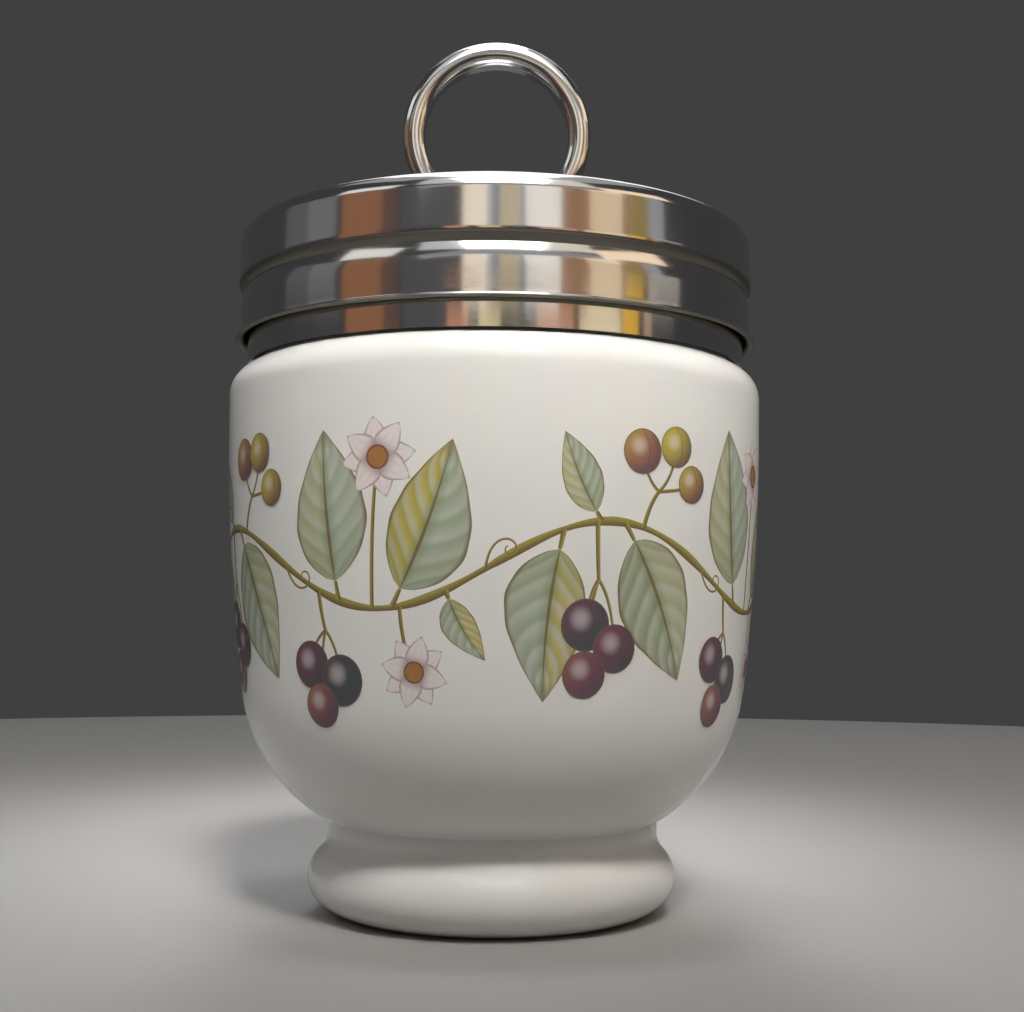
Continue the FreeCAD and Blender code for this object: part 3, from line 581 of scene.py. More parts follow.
def bright_chrome(name, base, line_spacing, rough, smudged, unpolished_inside_shaded_beneath=False):
    """Sheet or bar that is polished on a spindle and chromium plated.

    Fine lines run round the axis where the polishing wheel went, and handling has left smudges. The
    lines are drawn coarser than real ones, so that they show. The inside of a spun shell, where it
    faces its axis, stays as dull as the sheet came. What faces down is made rougher and darker as
    painted shade, for the dark floor that it mirrors.
    """
    material, tree, shader = start_material(name, base, Metallic=1.0)
    place = add_node(tree, "TexCoord", output="Object")
    height = add_node(tree, "SeparateXYZ", place, output="Z")
    flat = add_node(tree, "VectorMath", place, (1.0, 1.0, 0.0), operation="MULTIPLY")
    radius = add_node(tree, "VectorMath", flat, operation="LENGTH", output="Value")
    along = add_node(tree, "Math", height, radius)
    fine = add_node(tree, "Math", along, 1 / line_spacing, operation="MULTIPLY")
    slow = add_node(tree, "VectorMath", flat, (1 / (9 * MM),) * 3, operation="MULTIPLY")
    slow_x = add_node(tree, "SeparateXYZ", slow, output="X")
    slow_y = add_node(tree, "SeparateXYZ", slow, output="Y")
    lines = add_node(tree, "TexNoise", add_node(tree, "CombineXYZ", slow_x, slow_y, fine), None, 1.0, 2.0)
    smudge = add_node(tree, "TexNoise", place, None, 1 / (11 * MM), 4.0)
    dull = add_node(tree, "MapRange", smudge, 0.42, 0.78, 0.0, smudged)
    lined = add_node(tree, "MapRange", lines, 0.3, 0.7, rough * 0.7, rough * 1.3)
    worn = add_node(tree, "Math", lined, dull)
    if unpolished_inside_shaded_beneath:
        facing = add_node(tree, "TexCoord", output="Normal")
        outwards = add_node(tree, "VectorMath", facing, flat, operation="DOT_PRODUCT", output="Value")
        inside = add_node(tree, "Math", outwards, -0.5 * MM, operation="LESS_THAN")
        # Faces that look down get the dark colour too: painted shade for the dark floor that they mirror.
        upwards = add_node(tree, "SeparateXYZ", facing, output="Z")
        shaded_beneath = add_node(tree, "MapRange", upwards, -0.12, -0.35, 0.0, 0.85)
        unpolished_and_shaded = add_node(tree, "Math", inside, shaded_beneath, operation="MAXIMUM")
        worn = add_node(tree, "Mix", unpolished_and_shaded, worn, 0.4)
        shade = add_node(tree, "Mix", unpolished_and_shaded, base, settings().finish.unpolished_and_shade, data_type="RGBA")
        tree.links.new(shade, shader.inputs["Base Color"])
    tree.links.new(worn, shader.inputs["Roughness"])
    wave = add_node(tree, "TexNoise", place, None, 1 / (16 * MM), 1.0)
    ripple = add_node(tree, "Bump", 0.35, 0.05 * MM, wave)
    relief = add_node(tree, "Bump", 0.12, 0.004 * MM, lines, ripple)
    tree.links.new(relief, shader.inputs["Normal"])
    return material


def moulded_rubber():
    """Pale food-grade silicone rubber from a bead-blasted mould: matt, faintly grainy and dusty."""
    finish = settings().finish
    material, tree, shader = start_material("moulded_rubber", finish.rubber, Roughness=0.6, IOR=1.42)
    place = add_node(tree, "TexCoord", output="Object")
    grain = add_node(tree, "TexNoise", place, None, 1 / (0.25 * MM), 3.0)
    dust = add_node(tree, "TexNoise", place, None, 1 / (7 * MM), 4.0)
    shade = add_node(tree, "Mix", add_node(tree, "MapRange", dust, 0.3, 0.8, 0.0, 0.35), finish.rubber,
                     finish.porcelain_warm, data_type="RGBA")
    tree.links.new(shade, shader.inputs["Base Color"])
    tree.links.new(add_node(tree, "Bump", 0.4, 0.02 * MM, grain), shader.inputs["Normal"])
    return material


# -------------------------------------------------------------- pieces


def cup_sizes():
    """Sizes that follow from the cup's settings, by name."""
    cup = settings().cup
    waist = cup.foot_radius - cup.waist_set_in
    heel_sine, heel_cosine = math.sin(cup.heel_turn), math.cos(cup.heel_turn)
    heel = (cup.foot_radius - cup.heel_round * (1 - heel_cosine),
            cup.foot_widest - cup.heel_round * heel_sine)
    sole_round = heel[1] / (1 - heel_sine)
    foot_centre = cup.foot_radius - cup.foot_upper_round
    both = cup.foot_upper_round + cup.waist_cove
    across = waist + cup.waist_cove - foot_centre
    waist_height = cup.foot_widest + math.sqrt(both ** 2 - across ** 2)
    share = cup.foot_upper_round / both
    crease = waist_height + cup.waist_band
    sine = cup.side_rise / cup.side_curve
    cosine = math.sqrt(1 - sine ** 2)
    bowl_centre = cup.body_radius - cup.side_curve + (cup.side_curve - cup.bowl_round) * cosine
    bowl_middle = crease + math.sqrt(cup.bowl_round ** 2 - (waist - bowl_centre) ** 2)
    widest = bowl_middle - cup.bowl_round * sine + cup.side_rise
    return {
        "heel": heel,
        "sole_round": sole_round,
        "foot_ring": heel[0] - sole_round * heel_cosine,
        "waist_radius": waist,
        "waist_height": waist_height,
        "blend": (foot_centre + share * across,
                  cup.foot_widest + share * (waist_height - cup.foot_widest)),
        "crease_height": crease,
        "sine": sine,
        "cosine": cosine,
        "bowl_centre": bowl_centre,
        "bowl_middle": bowl_middle,
        "widest_height": widest,
        "shoulder_height": widest + cup.side_straight + cup.shoulder_round,
        "neck_radius": cup.body_radius - cup.neck_set_in,
    }


def cup_outline():
    """Outer and inner wall of the cup, from the hollow's middle round to the floor's middle."""
    cup, size = settings().cup, cup_sizes()
    foot_ring = size["foot_ring"]
    recess = foot_ring - cup.foot_ring_width - cup.recess_draft
    floor = size["bowl_middle"] - cup.bowl_round + cup.wall
    hollow = floor - cup.floor_thickness
    inner_round = cup.bowl_round - cup.wall
    inner = cup.body_radius - cup.wall
    neck, shoulder, rim = size["neck_radius"], size["shoulder_height"], cup.rim_height
    mouth = neck - cup.neck_wall
    bend_width = (inner - mouth) / 2
    bend_rise = math.sqrt(cup.inner_bend ** 2 - (cup.inner_bend - bend_width) ** 2)
    bend = shoulder - cup.shoulder_wall
    return trace_outline([
        (0.0, hollow),
        (recess - cup.recess_round, hollow),
        (recess, hollow - cup.recess_round, cup.recess_round, -1),
        (foot_ring - cup.foot_ring_width, 0.0),
        (foot_ring, 0.0),
        (*size["heel"], size["sole_round"], 1),
        (cup.foot_radius, cup.foot_widest, cup.heel_round, 1),
        (*size["blend"], cup.foot_upper_round, 1),
        (size["waist_radius"], size["waist_height"], cup.waist_cove, -1),
        (size["waist_radius"], size["crease_height"]),
        (size["bowl_centre"] + cup.bowl_round * size["cosine"],
         size["bowl_middle"] - cup.bowl_round * size["sine"], cup.bowl_round, 1),
        (cup.body_radius, size["widest_height"], cup.side_curve, 1),
        (cup.body_radius, shoulder - cup.shoulder_round),
        (cup.body_radius - cup.shoulder_round, shoulder, cup.shoulder_round, 1),
        (neck, shoulder),
        (neck, rim - cup.rim_round),
        (neck - cup.rim_round, rim, cup.rim_round, 1),
        (mouth + cup.rim_round, rim),
        (mouth, rim - cup.rim_round, cup.rim_round, 1),
        (mouth, bend + bend_rise),
        (mouth + bend_width, bend, cup.inner_bend, 1),
        (inner, bend - bend_rise, cup.inner_bend, -1),
        (inner, size["widest_height"]),
        (size["bowl_centre"] + inner_round * size["cosine"],
         size["bowl_middle"] - inner_round * size["sine"], cup.side_curve - cup.wall, -1),
        (size["bowl_centre"], floor, inner_round, -1),
        (0.0, floor),
    ], CUP_EDGE)


def cut_neck_thread():
    """The moulded ridge of the neck: a section swept up a right-hand helix, fading at its ends."""
    cup, size = settings().cup, cup_sizes()
    root = size["neck_radius"] - THREAD_BURIED
    crest = size["neck_radius"] + cup.thread_depth
    lean = (crest - root) * THREAD_LEAN
    start = cup.rim_height - cup.thread_drop - cup.thread_lead * cup.thread_turns
    half = cup.thread_crest / 2
    edge_lean = lean * THREAD_EDGE / (crest - root)
    section = trace_outline([
        (root, start - half - lean),
        (crest - THREAD_EDGE, start - half - edge_lean),
        (crest, start - half + THREAD_EDGE, THREAD_EDGE_CURVE, 1),
        (crest, start + half - THREAD_EDGE),
        (crest - THREAD_EDGE, start + half + edge_lean, THREAD_EDGE_CURVE, 1),
        (root, start + half + lean),
    ], CUP_EDGE)
    piece = draw_wire("neck_thread", [Vector((point.x, 0, point.y)) for point in section])
    # A face closes the section, and only its edges stay.
    bpy.ops.mesh.edge_face_add()
    bpy.ops.mesh.delete(type="ONLY_FACE")
    bpy.ops.object.mode_set(mode="OBJECT")
    screw = piece.modifiers.new("helix", "SCREW")
    screw.angle = math.tau * cup.thread_turns
    screw.screw_offset = cup.thread_lead * cup.thread_turns
    screw.steps = screw.render_steps = THREAD_STEPS
    bpy.ops.object.modifier_apply(modifier=screw.name)
    bpy.ops.object.mode_set(mode="EDIT")
    bpy.ops.mesh.select_all(action="SELECT")
    bpy.ops.mesh.remove_doubles(threshold=MERGE_GAP)
    # The open ends are capped.
    bpy.ops.mesh.select_all(action="DESELECT")
    bpy.ops.mesh.select_non_manifold()
    bpy.ops.mesh.fill()
    close_up(piece)
    # Both ends of the ridge run out into the neck.
    full = math.tau * cup.thread_turns
    for vertex in piece.data.vertices:
        radius = math.hypot(vertex.co.x, vertex.co.y)
        turn = (vertex.co.z - start) / cup.thread_lead * math.tau
        angle = math.atan2(vertex.co.y, vertex.co.x)
        turn = angle + math.tau * round((turn - angle) / math.tau)
        share = min(max(min(turn, full - turn) / THREAD_RUN_OUT, 0.0), 1.0)
        faded = root + (radius - root) * math.sin(share * math.pi / 2)
        vertex.co.x *= faded / radius
        vertex.co.y *= faded / radius
    return piece


class CODDLER_OT_cup(bpy.types.Operator):
    """Turn the porcelain cup and cut its neck's thread"""

    bl_idname = "coddler.cup"
    bl_label = "Porcelain cup"

    def execute(self, context):
        porcelain = glazed_porcelain()
        cup = turn_on_lathe("cup_body", cup_outline(), settings().cup.lathe_steps)
        place_on(cup, "cup", "porcelain", porcelain, "porcelain_cup")
        thread = cut_neck_thread()
        place_on(thread, "cup", "porcelain", porcelain, "porcelain_cup")
        return {"FINISHED"}


# ------------------------------------------------------------- garland

# Layers of the transfer above the glaze, thick enough to keep them apart.
STEM_LIFT = 0.018 * MM
LEAF_LIFT = 0.030 * MM
PETAL_LIFT = 0.060 * MM
FRUIT_LIFT = 0.085 * MM
SHEET_GAP = 0.003 * MM

# How much the repeats differ: a leaf's direction in degrees, its growth, warmth and depth of
# colour, a fruit's place and ripeness, and a petal's direction.
LEAF_SWAY = 5.0
LEAF_GROWTH = (0.94, 1.04)
WARMTH_SPREAD = 0.15
DEPTH_SPREAD = 0.1
FRUIT_SWAY = 0.4
RIPENESS_SPREAD = 0.06
PETAL_SWAY = 4.0
# A leaf's length is shared out to its stalk and its blade.
STALK_SHARE = 0.12
BLADE_SHARE = 0.9
# A blade's outline: below 1 its belly lies nearer to the stalk, below 1 its ends are blunter, and
# its edges wave a little, by a share of its width and over these radians along and across it.
BLADE_BELLY = 0.76
BLADE_ENDS = 0.92
BLADE_WAVE = 0.012
BLADE_PHASE = (29.0, 9.0)
# Petals of a daisy, their fullness, and the share of its width that its middle takes.
PETALS = 8
PETAL_FULLNESS = 0.68
STAMEN_SHARE = 0.3
# Widths of the stalks at their foot and at their end.
LEAF_STALK = (0.7 * MM, 0.45 * MM)
SPRAY_STALK = (0.6 * MM, 0.45 * MM)
FRUIT_STALK = (0.42 * MM, 0.32 * MM)
DAISY_STALK = (0.5 * MM, 0.4 * MM)
# Where a stalk's bend lies between its foot and its end, as shares of the way along and above.
SPRAY_BEND = (0.3, 0.6)
FRUIT_BEND = (0.8, 0.3)
DAISY_BEND = (0.1, 0.6)
# The vine swells by a share of its width, over these radians in one repeat.
VINE_SWELL = 0.25
VINE_PHASE = 31.0
# A tendril's width and the share of it that is lost towards its end, the length of its path for
# its size, and how much its steps shorten as it curls up.
TENDRIL_WIDTH = 0.32 * MM
TENDRIL_TAPER = 0.5
TENDRIL_PATH = 1.6
TENDRIL_SHORTENING = 0.45
# How finely the sheets are divided: along, and along and across, or round and out.
VINE_CELLS = 60
STALK_CELLS = 14
LEAF_STALK_CELLS = 4
TENDRIL_CELLS = 40
BLADE_CELLS = (30, 14)
PETAL_CELLS = (10, 6)
FRUIT_CELLS = (28, 7)
STAMEN_CELLS = (20, 4)
# What a sheet that has no colour of its own carries.
PLAIN_TINT = (0.0, 0.0, 0.0)

# One repeat of the garland. Places are in millimetres along the vine from the repeat's start, and
# directions in degrees, where 90 is up.
# A leaf has its place, direction, length, fullness, bend, fold, warmth and depth of colour.
LEAVES = (
    (36.0, 105.0, 20.0, 0.64, -0.05, 0.12, 0.25, 0.10),
    (43.0, 60.0, 19.0, 0.62, 0.06, 0.20, 0.95, 0.30),
    (8.0, -105.0, 18.5, 0.62, 0.06, 0.15, 0.85, 0.25),
    (15.5, -60.0, 19.5, 0.64, -0.06, 0.15, 0.30, 0.50),
    (12.5, 124.0, 10.5, 0.56, -0.08, 0.20, 0.60, 0.40),
    (49.5, -74.0, 9.0, 0.56, 0.10, 0.20, 0.85, 0.30),
)
# A spray has its place, the fork of its stalk from there, and its fruit from the fork: aside,
# above, diameter and ripeness.
SPRAYS = (
    (12.0, (0.3, -6.5), ((-1.6, -5.2, 6.0, 0.95), (2.3, -7.6, 5.6, 0.72), (-1.4, -11.0, 5.4, 0.55))),
    (18.0, (2.0, 4.2), ((-2.6, 4.6, 5.2, 0.28), (2.4, 5.0, 4.8, 0.08), (4.9, 0.8, 4.4, 0.16))),
    (33.0, (0.8, -4.6), ((-2.9, -3.6, 5.6, 0.80), (1.8, -5.4, 6.0, 1.00), (-1.6, -8.8, 5.2, 0.45))),
)
# A daisy has its place, its middle from there, its width and its turn.
DAISIES = (
    (40.5, 1.0, 17.0, 9.4, 10.0),
    (44.0, 1.6, -7.4, 8.4, 31.0),
)
# A tendril has its place, direction, length and curl in turns.
TENDRILS = (
    (27.5, -62.0, 7.0, 1.2),
    (54.0, 78.0, 7.0, -1.2),
)


def outer_radius(height):
    """Radius of the cup's outside at a height between the waist and the shoulder."""
    cup, size = settings().cup, cup_sizes()
    bowl_top = size["bowl_middle"] - cup.bowl_round * size["sine"]
    if height < bowl_top:
        return size["bowl_centre"] + math.sqrt(cup.bowl_round ** 2 - (size["bowl_middle"] - height) ** 2)
    if height < size["widest_height"]:
        drop = size["widest_height"] - height
        return cup.body_radius - cup.side_curve + math.sqrt(cup.side_curve ** 2 - drop ** 2)
    return cup.body_radius


def draw_sheet(name, long_cells, wide_cells, place, tint=PLAIN_TINT, chart=None, lift=0.0):
    """A flat sheet of the transfer whose grid follows place(u, v), in metres along and above.

    The map keeps the grid's own u and v, or follows chart(u, v). The lift keeps it clear of the
    sheets that it overlaps.
    """
    start_clean()
    bpy.ops.mesh.primitive_grid_add(x_subdivisions=long_cells, y_subdivisions=wide_cells, size=1.0)
    sheet = bpy.context.object
    sheet.name = name
    mesh = sheet.data
    spots = [(vertex.co.x + 0.5, vertex.co.y + 0.5) for vertex in mesh.vertices]
    for loop, corner in zip(mesh.loops, mesh.uv_layers[0].data):
        u, v = spots[loop.vertex_index]
        corner.uv = chart(u, v) if chart else (u, v)
    for vertex, (u, v) in zip(mesh.vertices, spots):
        along, above = place(u, v)
        vertex.co = (along, lift, above)
    shades = mesh.color_attributes.new("tint", "FLOAT_COLOR", "POINT")
    for shade in shades.data:
        shade.color = (*tint, 1.0)
    return sheet


def join_on_cup(name, sheets, lift, material):
    """Joins sheets of the transfer and lays them round the cup, just above its glaze."""
    start_clean()
    for sheet in sheets:
        sheet.select_set(True)
    bpy.context.view_layer.objects.active = sheets[0]
    bpy.ops.object.join()
    piece = bpy.context.object
    piece.name = piece.data.name = name
    bpy.ops.object.mode_set(mode="EDIT")
    bpy.ops.mesh.select_all(action="SELECT")
    bpy.ops.mesh.remove_doubles(threshold=MERGE_GAP)
    bpy.ops.object.mode_set(mode="OBJECT")
    around = settings().cup.body_radius
    for vertex in piece.data.vertices:
        angle = vertex.co.x / around
        radius = outer_radius(vertex.co.z) + lift + vertex.co.y
        vertex.co = (radius * math.sin(angle), -radius * math.cos(angle), vertex.co.z)
    turn_outwards(piece)
    bpy.ops.object.shade_smooth()
    place_on(piece, "cup", "porcelain", material)
    return piece


def turn_outwards(piece):
    """Flips each face that looks at the cup's axis."""
    mesh = bmesh.new()
    mesh.from_mesh(piece.data)
    for face in mesh.faces:
        middle = face.calc_center_median()
        if face.normal.x * middle.x + face.normal.y * middle.y < 0:
            face.normal_flip()
    mesh.to_mesh(piece.data)
    mesh.free()


def vine_point(along):
    """The vine's height at a place along the band."""
    look = settings().garland
    pitch = math.tau * settings().cup.body_radius / look.repeats
    return Vector((along, look.vine_height + look.vine_swing * math.sin(math.tau * along / pitch)))


def heading(degrees):
    """Unit vector in a direction of the flat design."""
    return Vector((math.cos(math.radians(degrees)), math.sin(math.radians(degrees))))


def part_way(start, end, shares):
    """The point at one share of the way along and another of the way above."""
    along, above = shares
    return Vector((start.x * (1 - along) + end.x * along, start.y * (1 - above) + end.y * above))


def draw_stalk(start, bend, end, width, end_width, cells=STALK_CELLS):
    """A stalk along a quadratic curve, tapering from one width to the other."""
    def place(u, v):
        point = start * (1 - u) ** 2 + bend * (2 * u * (1 - u)) + end * u ** 2
        slope = ((bend - start) * (1 - u) + (end - bend) * u).normalized()
        return point + Vector((-slope.y, slope.x)) * ((v - 0.5) * (width + (end_width - width) * u))

    return draw_sheet("stalk", cells, 2, place)


def draw_blade(foot, degrees, size, fullness, bend, fold, tint, lift, cells=BLADE_CELLS):
    """A smooth-edged pointed leaf or petal, bent along its midrib and folded towards one side."""
    ahead = heading(degrees)
    left = Vector((-ahead.y, ahead.x))

    def place(u, v):
        side = 2 * v - 1
        wave = 1 + BLADE_WAVE * math.sin(u * BLADE_PHASE[0] + BLADE_PHASE[1] * side)
        swell = math.sin(math.pi * u ** BLADE_BELLY) ** BLADE_ENDS * wave
        half = 0.5 * fullness * size * swell * (1 - fold * (side > 0))
        curve = bend * size * 2.0 * u ** 2
        return foot + ahead * (size * u) + left * (curve + half * side)

    return draw_sheet("blade", *cells, place, tint, None, lift)


def draw_round(middle, width, tint, lift=0.0, cells=FRUIT_CELLS):
    """A round dab: the grid's long side goes round it and its short side runs out from the middle."""
    def spot(u, v):
        return Vector((math.cos(math.tau * u), math.sin(math.tau * u))) * v

    return draw_sheet("dab", *cells, lambda u, v: middle + spot(u, v) * (width / 2), tint,
                      lambda u, v: spot(u, v) * 0.5 + Vector((0.5, 0.5)), lift)


def draw_tendril(foot, degrees, size, curl):
    """A thin tendril that ends in a curl, with steps that shorten as it curls up."""
    path = [foot.copy()]
    for step in range(TENDRIL_CELLS):
        share = step / TENDRIL_CELLS
        turn = degrees + math.degrees(curl * math.tau) * share ** 2
        stride = size * TENDRIL_PATH / TENDRIL_CELLS * (1 - TENDRIL_SHORTENING * share)
        path.append(path[-1] + heading(turn) * stride)

    def place(u, v):
        index = min(round(u * TENDRIL_CELLS), TENDRIL_CELLS)
        before, after = path[max(index - 1, 0)], path[min(index + 1, TENDRIL_CELLS)]
        slope = (after - before).normalized()
        width = TENDRIL_WIDTH * (1 - TENDRIL_TAPER * u)
        return path[index] + Vector((-slope.y, slope.x)) * ((v - 0.5) * width)

    return draw_sheet("tendril", TENDRIL_CELLS, 2, place)


class CODDLER_OT_garland(bpy.types.Operator):
    """Print the garland round the cup: vine, leaves, fruit and daisies"""

    bl_idname = "coddler.garland"
    bl_label = "Printed garland"

    def execute(self, context):
        look = settings().garland
        dice = random.Random(look.seed)
        pitch = math.tau * settings().cup.body_radius / look.repeats
        stems, leaves, fruit, petals, stamens = [], [], [], [], []
        for repeat in range(look.repeats):
            start = (repeat - look.repeats / 2) * pitch
            self.draw_vine(start, pitch, stems)
            for index, (spot, degrees, size, fullness, bend, fold, warmth, depth) in enumerate(LEAVES):
                foot = vine_point(start + spot * MM)
                turned = degrees + dice.uniform(-LEAF_SWAY, LEAF_SWAY)
                grown = size * MM * dice.uniform(*LEAF_GROWTH)
                stalk = foot + heading(turned) * (grown * STALK_SHARE)
                stems.append(draw_stalk(foot, (foot + stalk) / 2, stalk, *LEAF_STALK, LEAF_STALK_CELLS))
                sunlit = min(max(warmth + dice.uniform(-WARMTH_SPREAD, WARMTH_SPREAD), 0), 1)
                tint = (sunlit, depth + dice.uniform(-DEPTH_SPREAD, DEPTH_SPREAD), 0.0)
                leaves.append(draw_blade(stalk, turned, grown * BLADE_SHARE, fullness, bend, fold, tint,
                                         index * SHEET_GAP))
            for spot, fork_place, fruits in SPRAYS:
                foot = vine_point(start + spot * MM)
                fork = foot + Vector(fork_place) * MM
                stems.append(draw_stalk(foot, part_way(foot, fork, SPRAY_BEND), fork, *SPRAY_STALK))
                for index, (aside, above, width, ripeness) in enumerate(fruits):
                    sideways = dice.uniform(-FRUIT_SWAY, FRUIT_SWAY)
                    upwards = dice.uniform(-FRUIT_SWAY, FRUIT_SWAY)
                    middle = fork + Vector((aside + sideways, above + upwards)) * MM
                    stems.append(draw_stalk(fork, part_way(fork, middle, FRUIT_BEND), middle, *FRUIT_STALK))
                    tint = (ripeness + dice.uniform(-RIPENESS_SPREAD, RIPENESS_SPREAD), 0.0, 0.0)
                    fruit.append(draw_round(middle, width * MM, tint, index * SHEET_GAP))
            for spot, aside, above, width, turn in DAISIES:
                foot = vine_point(start + spot * MM)
                middle = foot + Vector((aside, above)) * MM
                stems.append(draw_stalk(foot, part_way(foot, middle, DAISY_BEND), middle, *DAISY_STALK))
                for index in range(PETALS):
                    turned = turn + index * 360 / PETALS + dice.uniform(-PETAL_SWAY, PETAL_SWAY)
                    lift = (index % 2) * SHEET_GAP
                    petals.append(draw_blade(middle, turned, width / 2 * MM, PETAL_FULLNESS, 0.0, 0.0,
                                             PLAIN_TINT, lift, PETAL_CELLS))
                stamens.append(draw_round(middle, width * STAMEN_SHARE * MM, PLAIN_TINT, 0.0, STAMEN_CELLS))
            for spot, degrees, size, curl in TENDRILS:
                stems.append(draw_tendril(vine_point(start + spot * MM), degrees, size * MM, curl))
        join_on_cup("garland_stems", stems, STEM_LIFT, printed_stem())
        join_on_cup("garland_leaves", leaves, LEAF_LIFT, printed_leaf())
        join_on_cup("garland_petals", petals, PETAL_LIFT, printed_petal())
        join_on_cup("garland_fruit", fruit, FRUIT_LIFT, printed_fruit())
        join_on_cup("garland_stamens", stamens, FRUIT_LIFT, printed_stamen())
        return {"FINISHED"}

    def draw_vine(self, start, pitch, stems):
        """Adds one repeat of the vine to the stems."""
        width = settings().garland.vine_width

        def place(u, v):
            point = vine_point(start + pitch * u)
            slope = (vine_point(start + pitch * u + MM) - point).normalized()
            swell = 1 + VINE_SWELL * math.sin(u * VINE_PHASE)
            return point + Vector((-slope.y, slope.x)) * ((v - 0.5) * width * swell)

        stems.append(draw_sheet("vine", VINE_CELLS, 2, place))


def cover_outline():
    """Both sides of the cover's sheet, from the hole's lower edge round to its upper edge."""
    lid = settings().lid
    sheet, lip, top = lid.cover_sheet, lid.lip_height, lid.dome_top - lid.dome_height
    lower = lid.lip_radius - lid.lip_out
    foot = lower + lid.band_set_out
    upper = foot - lid.band_taper
    groove = foot - lid.groove_depth
    groove_top = top - lid.band_drop
    valley = groove_top - lid.groove_upper_slope
    groove_foot = valley - lid.groove_lower_slope
    rise = lower - groove
    lower_curve = (rise ** 2 + lid.groove_lower_slope ** 2) / (2 * rise)
    dome = upper - lid.cover_corner - lid.dome_margin
    dome_curve = (dome ** 2 + lid.dome_height ** 2) / (2 * lid.dome_height)
    at_hole = lid.dome_height - (dome_curve - math.sqrt(dome_curve ** 2 - lid.hole_radius ** 2))
    return trace_outline([
        (lid.hole_radius, top + at_hole),
        (lid.hole_radius, top + at_hole - sheet),
        (dome, top - sheet, dome_curve, -1),
        (upper - lid.cover_corner, top - sheet),
        (upper - sheet, top - lid.cover_corner, lid.cover_corner - sheet, -1),
        (foot - sheet, groove_top),
        (groove - sheet, valley, lid.groove_upper_curve, -1),
        (lower - sheet, groove_foot, lower_curve, -1),
        (lower - sheet, lip + sheet + lid.lip_bend),
        (lower + lid.lip_bend, lip, sheet + lid.lip_bend, 1),
        (lid.lip_radius - lid.lip_bevel, lip),
        (lid.lip_radius, lip + lid.lip_bevel),
        (lid.lip_radius - sheet + lid.lip_bevel, lip + sheet, sheet - lid.lip_bevel, 1),
        (lower + lid.lip_bend, lip + sheet),
        (lower, lip + sheet + lid.lip_bend, lid.lip_bend, -1),
        (lower, groove_foot),
        (groove, valley, lower_curve, 1),
        (foot, groove_top, lid.groove_upper_curve, 1),
        (upper, top - lid.cover_corner),
        (upper - lid.cover_corner, top, lid.cover_corner, 1),
        (dome, top),
        (lid.hole_radius, top + at_hole, dome_curve, 1),
    ], LID_EDGE)


def ring_outline():
    """The ring's section, from its axis out and along it: tight edges and crowned faces."""
    lid = settings().lid
    outer = (RING_HIGH.x - RING_LOW.x) / 2
    inner, half, edge = outer - lid.ring_thickness, (RING_HIGH.y - RING_LOW.y) / 2, lid.ring_edge_round
    set_in = edge * (1 - math.cos(lid.ring_edge_turn))
    crown = (lid.ring_thickness / 2 - set_in) / math.cos(lid.ring_edge_turn)
    drop = crown * (1 - math.sin(lid.ring_edge_turn))
    side = half - drop - edge * math.sin(lid.ring_edge_turn)
    return trace_outline([
        (inner + set_in, drop - half),
        (outer - set_in, drop - half, crown, 1),
        (outer, -side, edge, 1),
        (outer, side),
        (outer - set_in, half - drop, edge, 1),
        (inner + set_in, half - drop, crown, 1),
        (inner, side, edge, 1),
        (inner, -side),
        (inner + set_in, drop - half, edge, 1),
    ], LID_EDGE)


class CODDLER_OT_lid(bpy.types.Operator):
    """Spin the lid's cover, bend its ring and finish the pieces inside it"""

    bl_idname = "coddler.lid"
    bl_label = "Screw lid"

    def execute(self, context):
        finish = settings().finish
        cover_metal = bright_chrome("spun_chrome_plate", finish.chrome, line_spacing=0.22 * MM,
                                    rough=0.10, smudged=0.09, unpolished_inside_shaded_beneath=True)
        ring_metal = bright_chrome("polished_chrome_bar", finish.chrome, line_spacing=0.16 * MM,
                                   rough=0.09, smudged=0.06)
        liner_metal = bright_chrome("pressed_chrome_sheet", finish.chrome, line_spacing=0.3 * MM,
                                    rough=0.09, smudged=0.06)
        steel = bright_chrome("stamped_steel", finish.steel, line_spacing=0.12 * MM,
                              rough=0.3, smudged=0.15)
        cover = turn_on_lathe("lid_shell", cover_outline(), settings().lid.lathe_steps)
        place_on(cover, "lid", "cover_metal", cover_metal, "lid_cover")
        middle = (RING_LOW + RING_HIGH) / 2
        ring = turn_on_lathe("finger_ring", ring_outline(), RING_STEPS, middle, (0.0, -1.0, 0.0))
        place_on(ring, "lid", "ring_metal", ring_metal, "ring_handle")
        finishes = {"screw_liner": liner_metal, "ring_boss": ring_metal, "backing_washer": steel,
                    "sealing_ring": moulded_rubber()}
        for node, material in finishes.items():
            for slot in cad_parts[node].material_slots:
                slot.material = material
        return {"FINISHED"}


# -------------------------------------------------------------- studio

# Soft boxes that face the coddler: azimuth from the front and elevation in degrees, distance, width
# and height in metres, colour and radiance.
SOFT_BOXES = (
    ("left_curtain", -25.0, 52.0, 0.66, 0.22, 0.40, "FBFCFF", 0.6),
    ("right_curtain", 33.0, 52.0, 0.66, 0.26, 0.40, "FFF4E4", 0.8),
    ("ceiling_light", 180.0, 82.0, 0.75, 0.80, 0.60, "FCFDFF", 0.35),
    ("left_light", -60.0, 34.0, 0.70, 0.30, 0.17, "F3F1EC", 1.0),
    ("right_light", 66.0, 34.0, 0.70, 0.38, 0.17, "F5D9B8", 1.3),
    ("back_light", 176.0, 42.0, 0.80, 0.42, 0.36, "F6F7FA", 1.4),
)
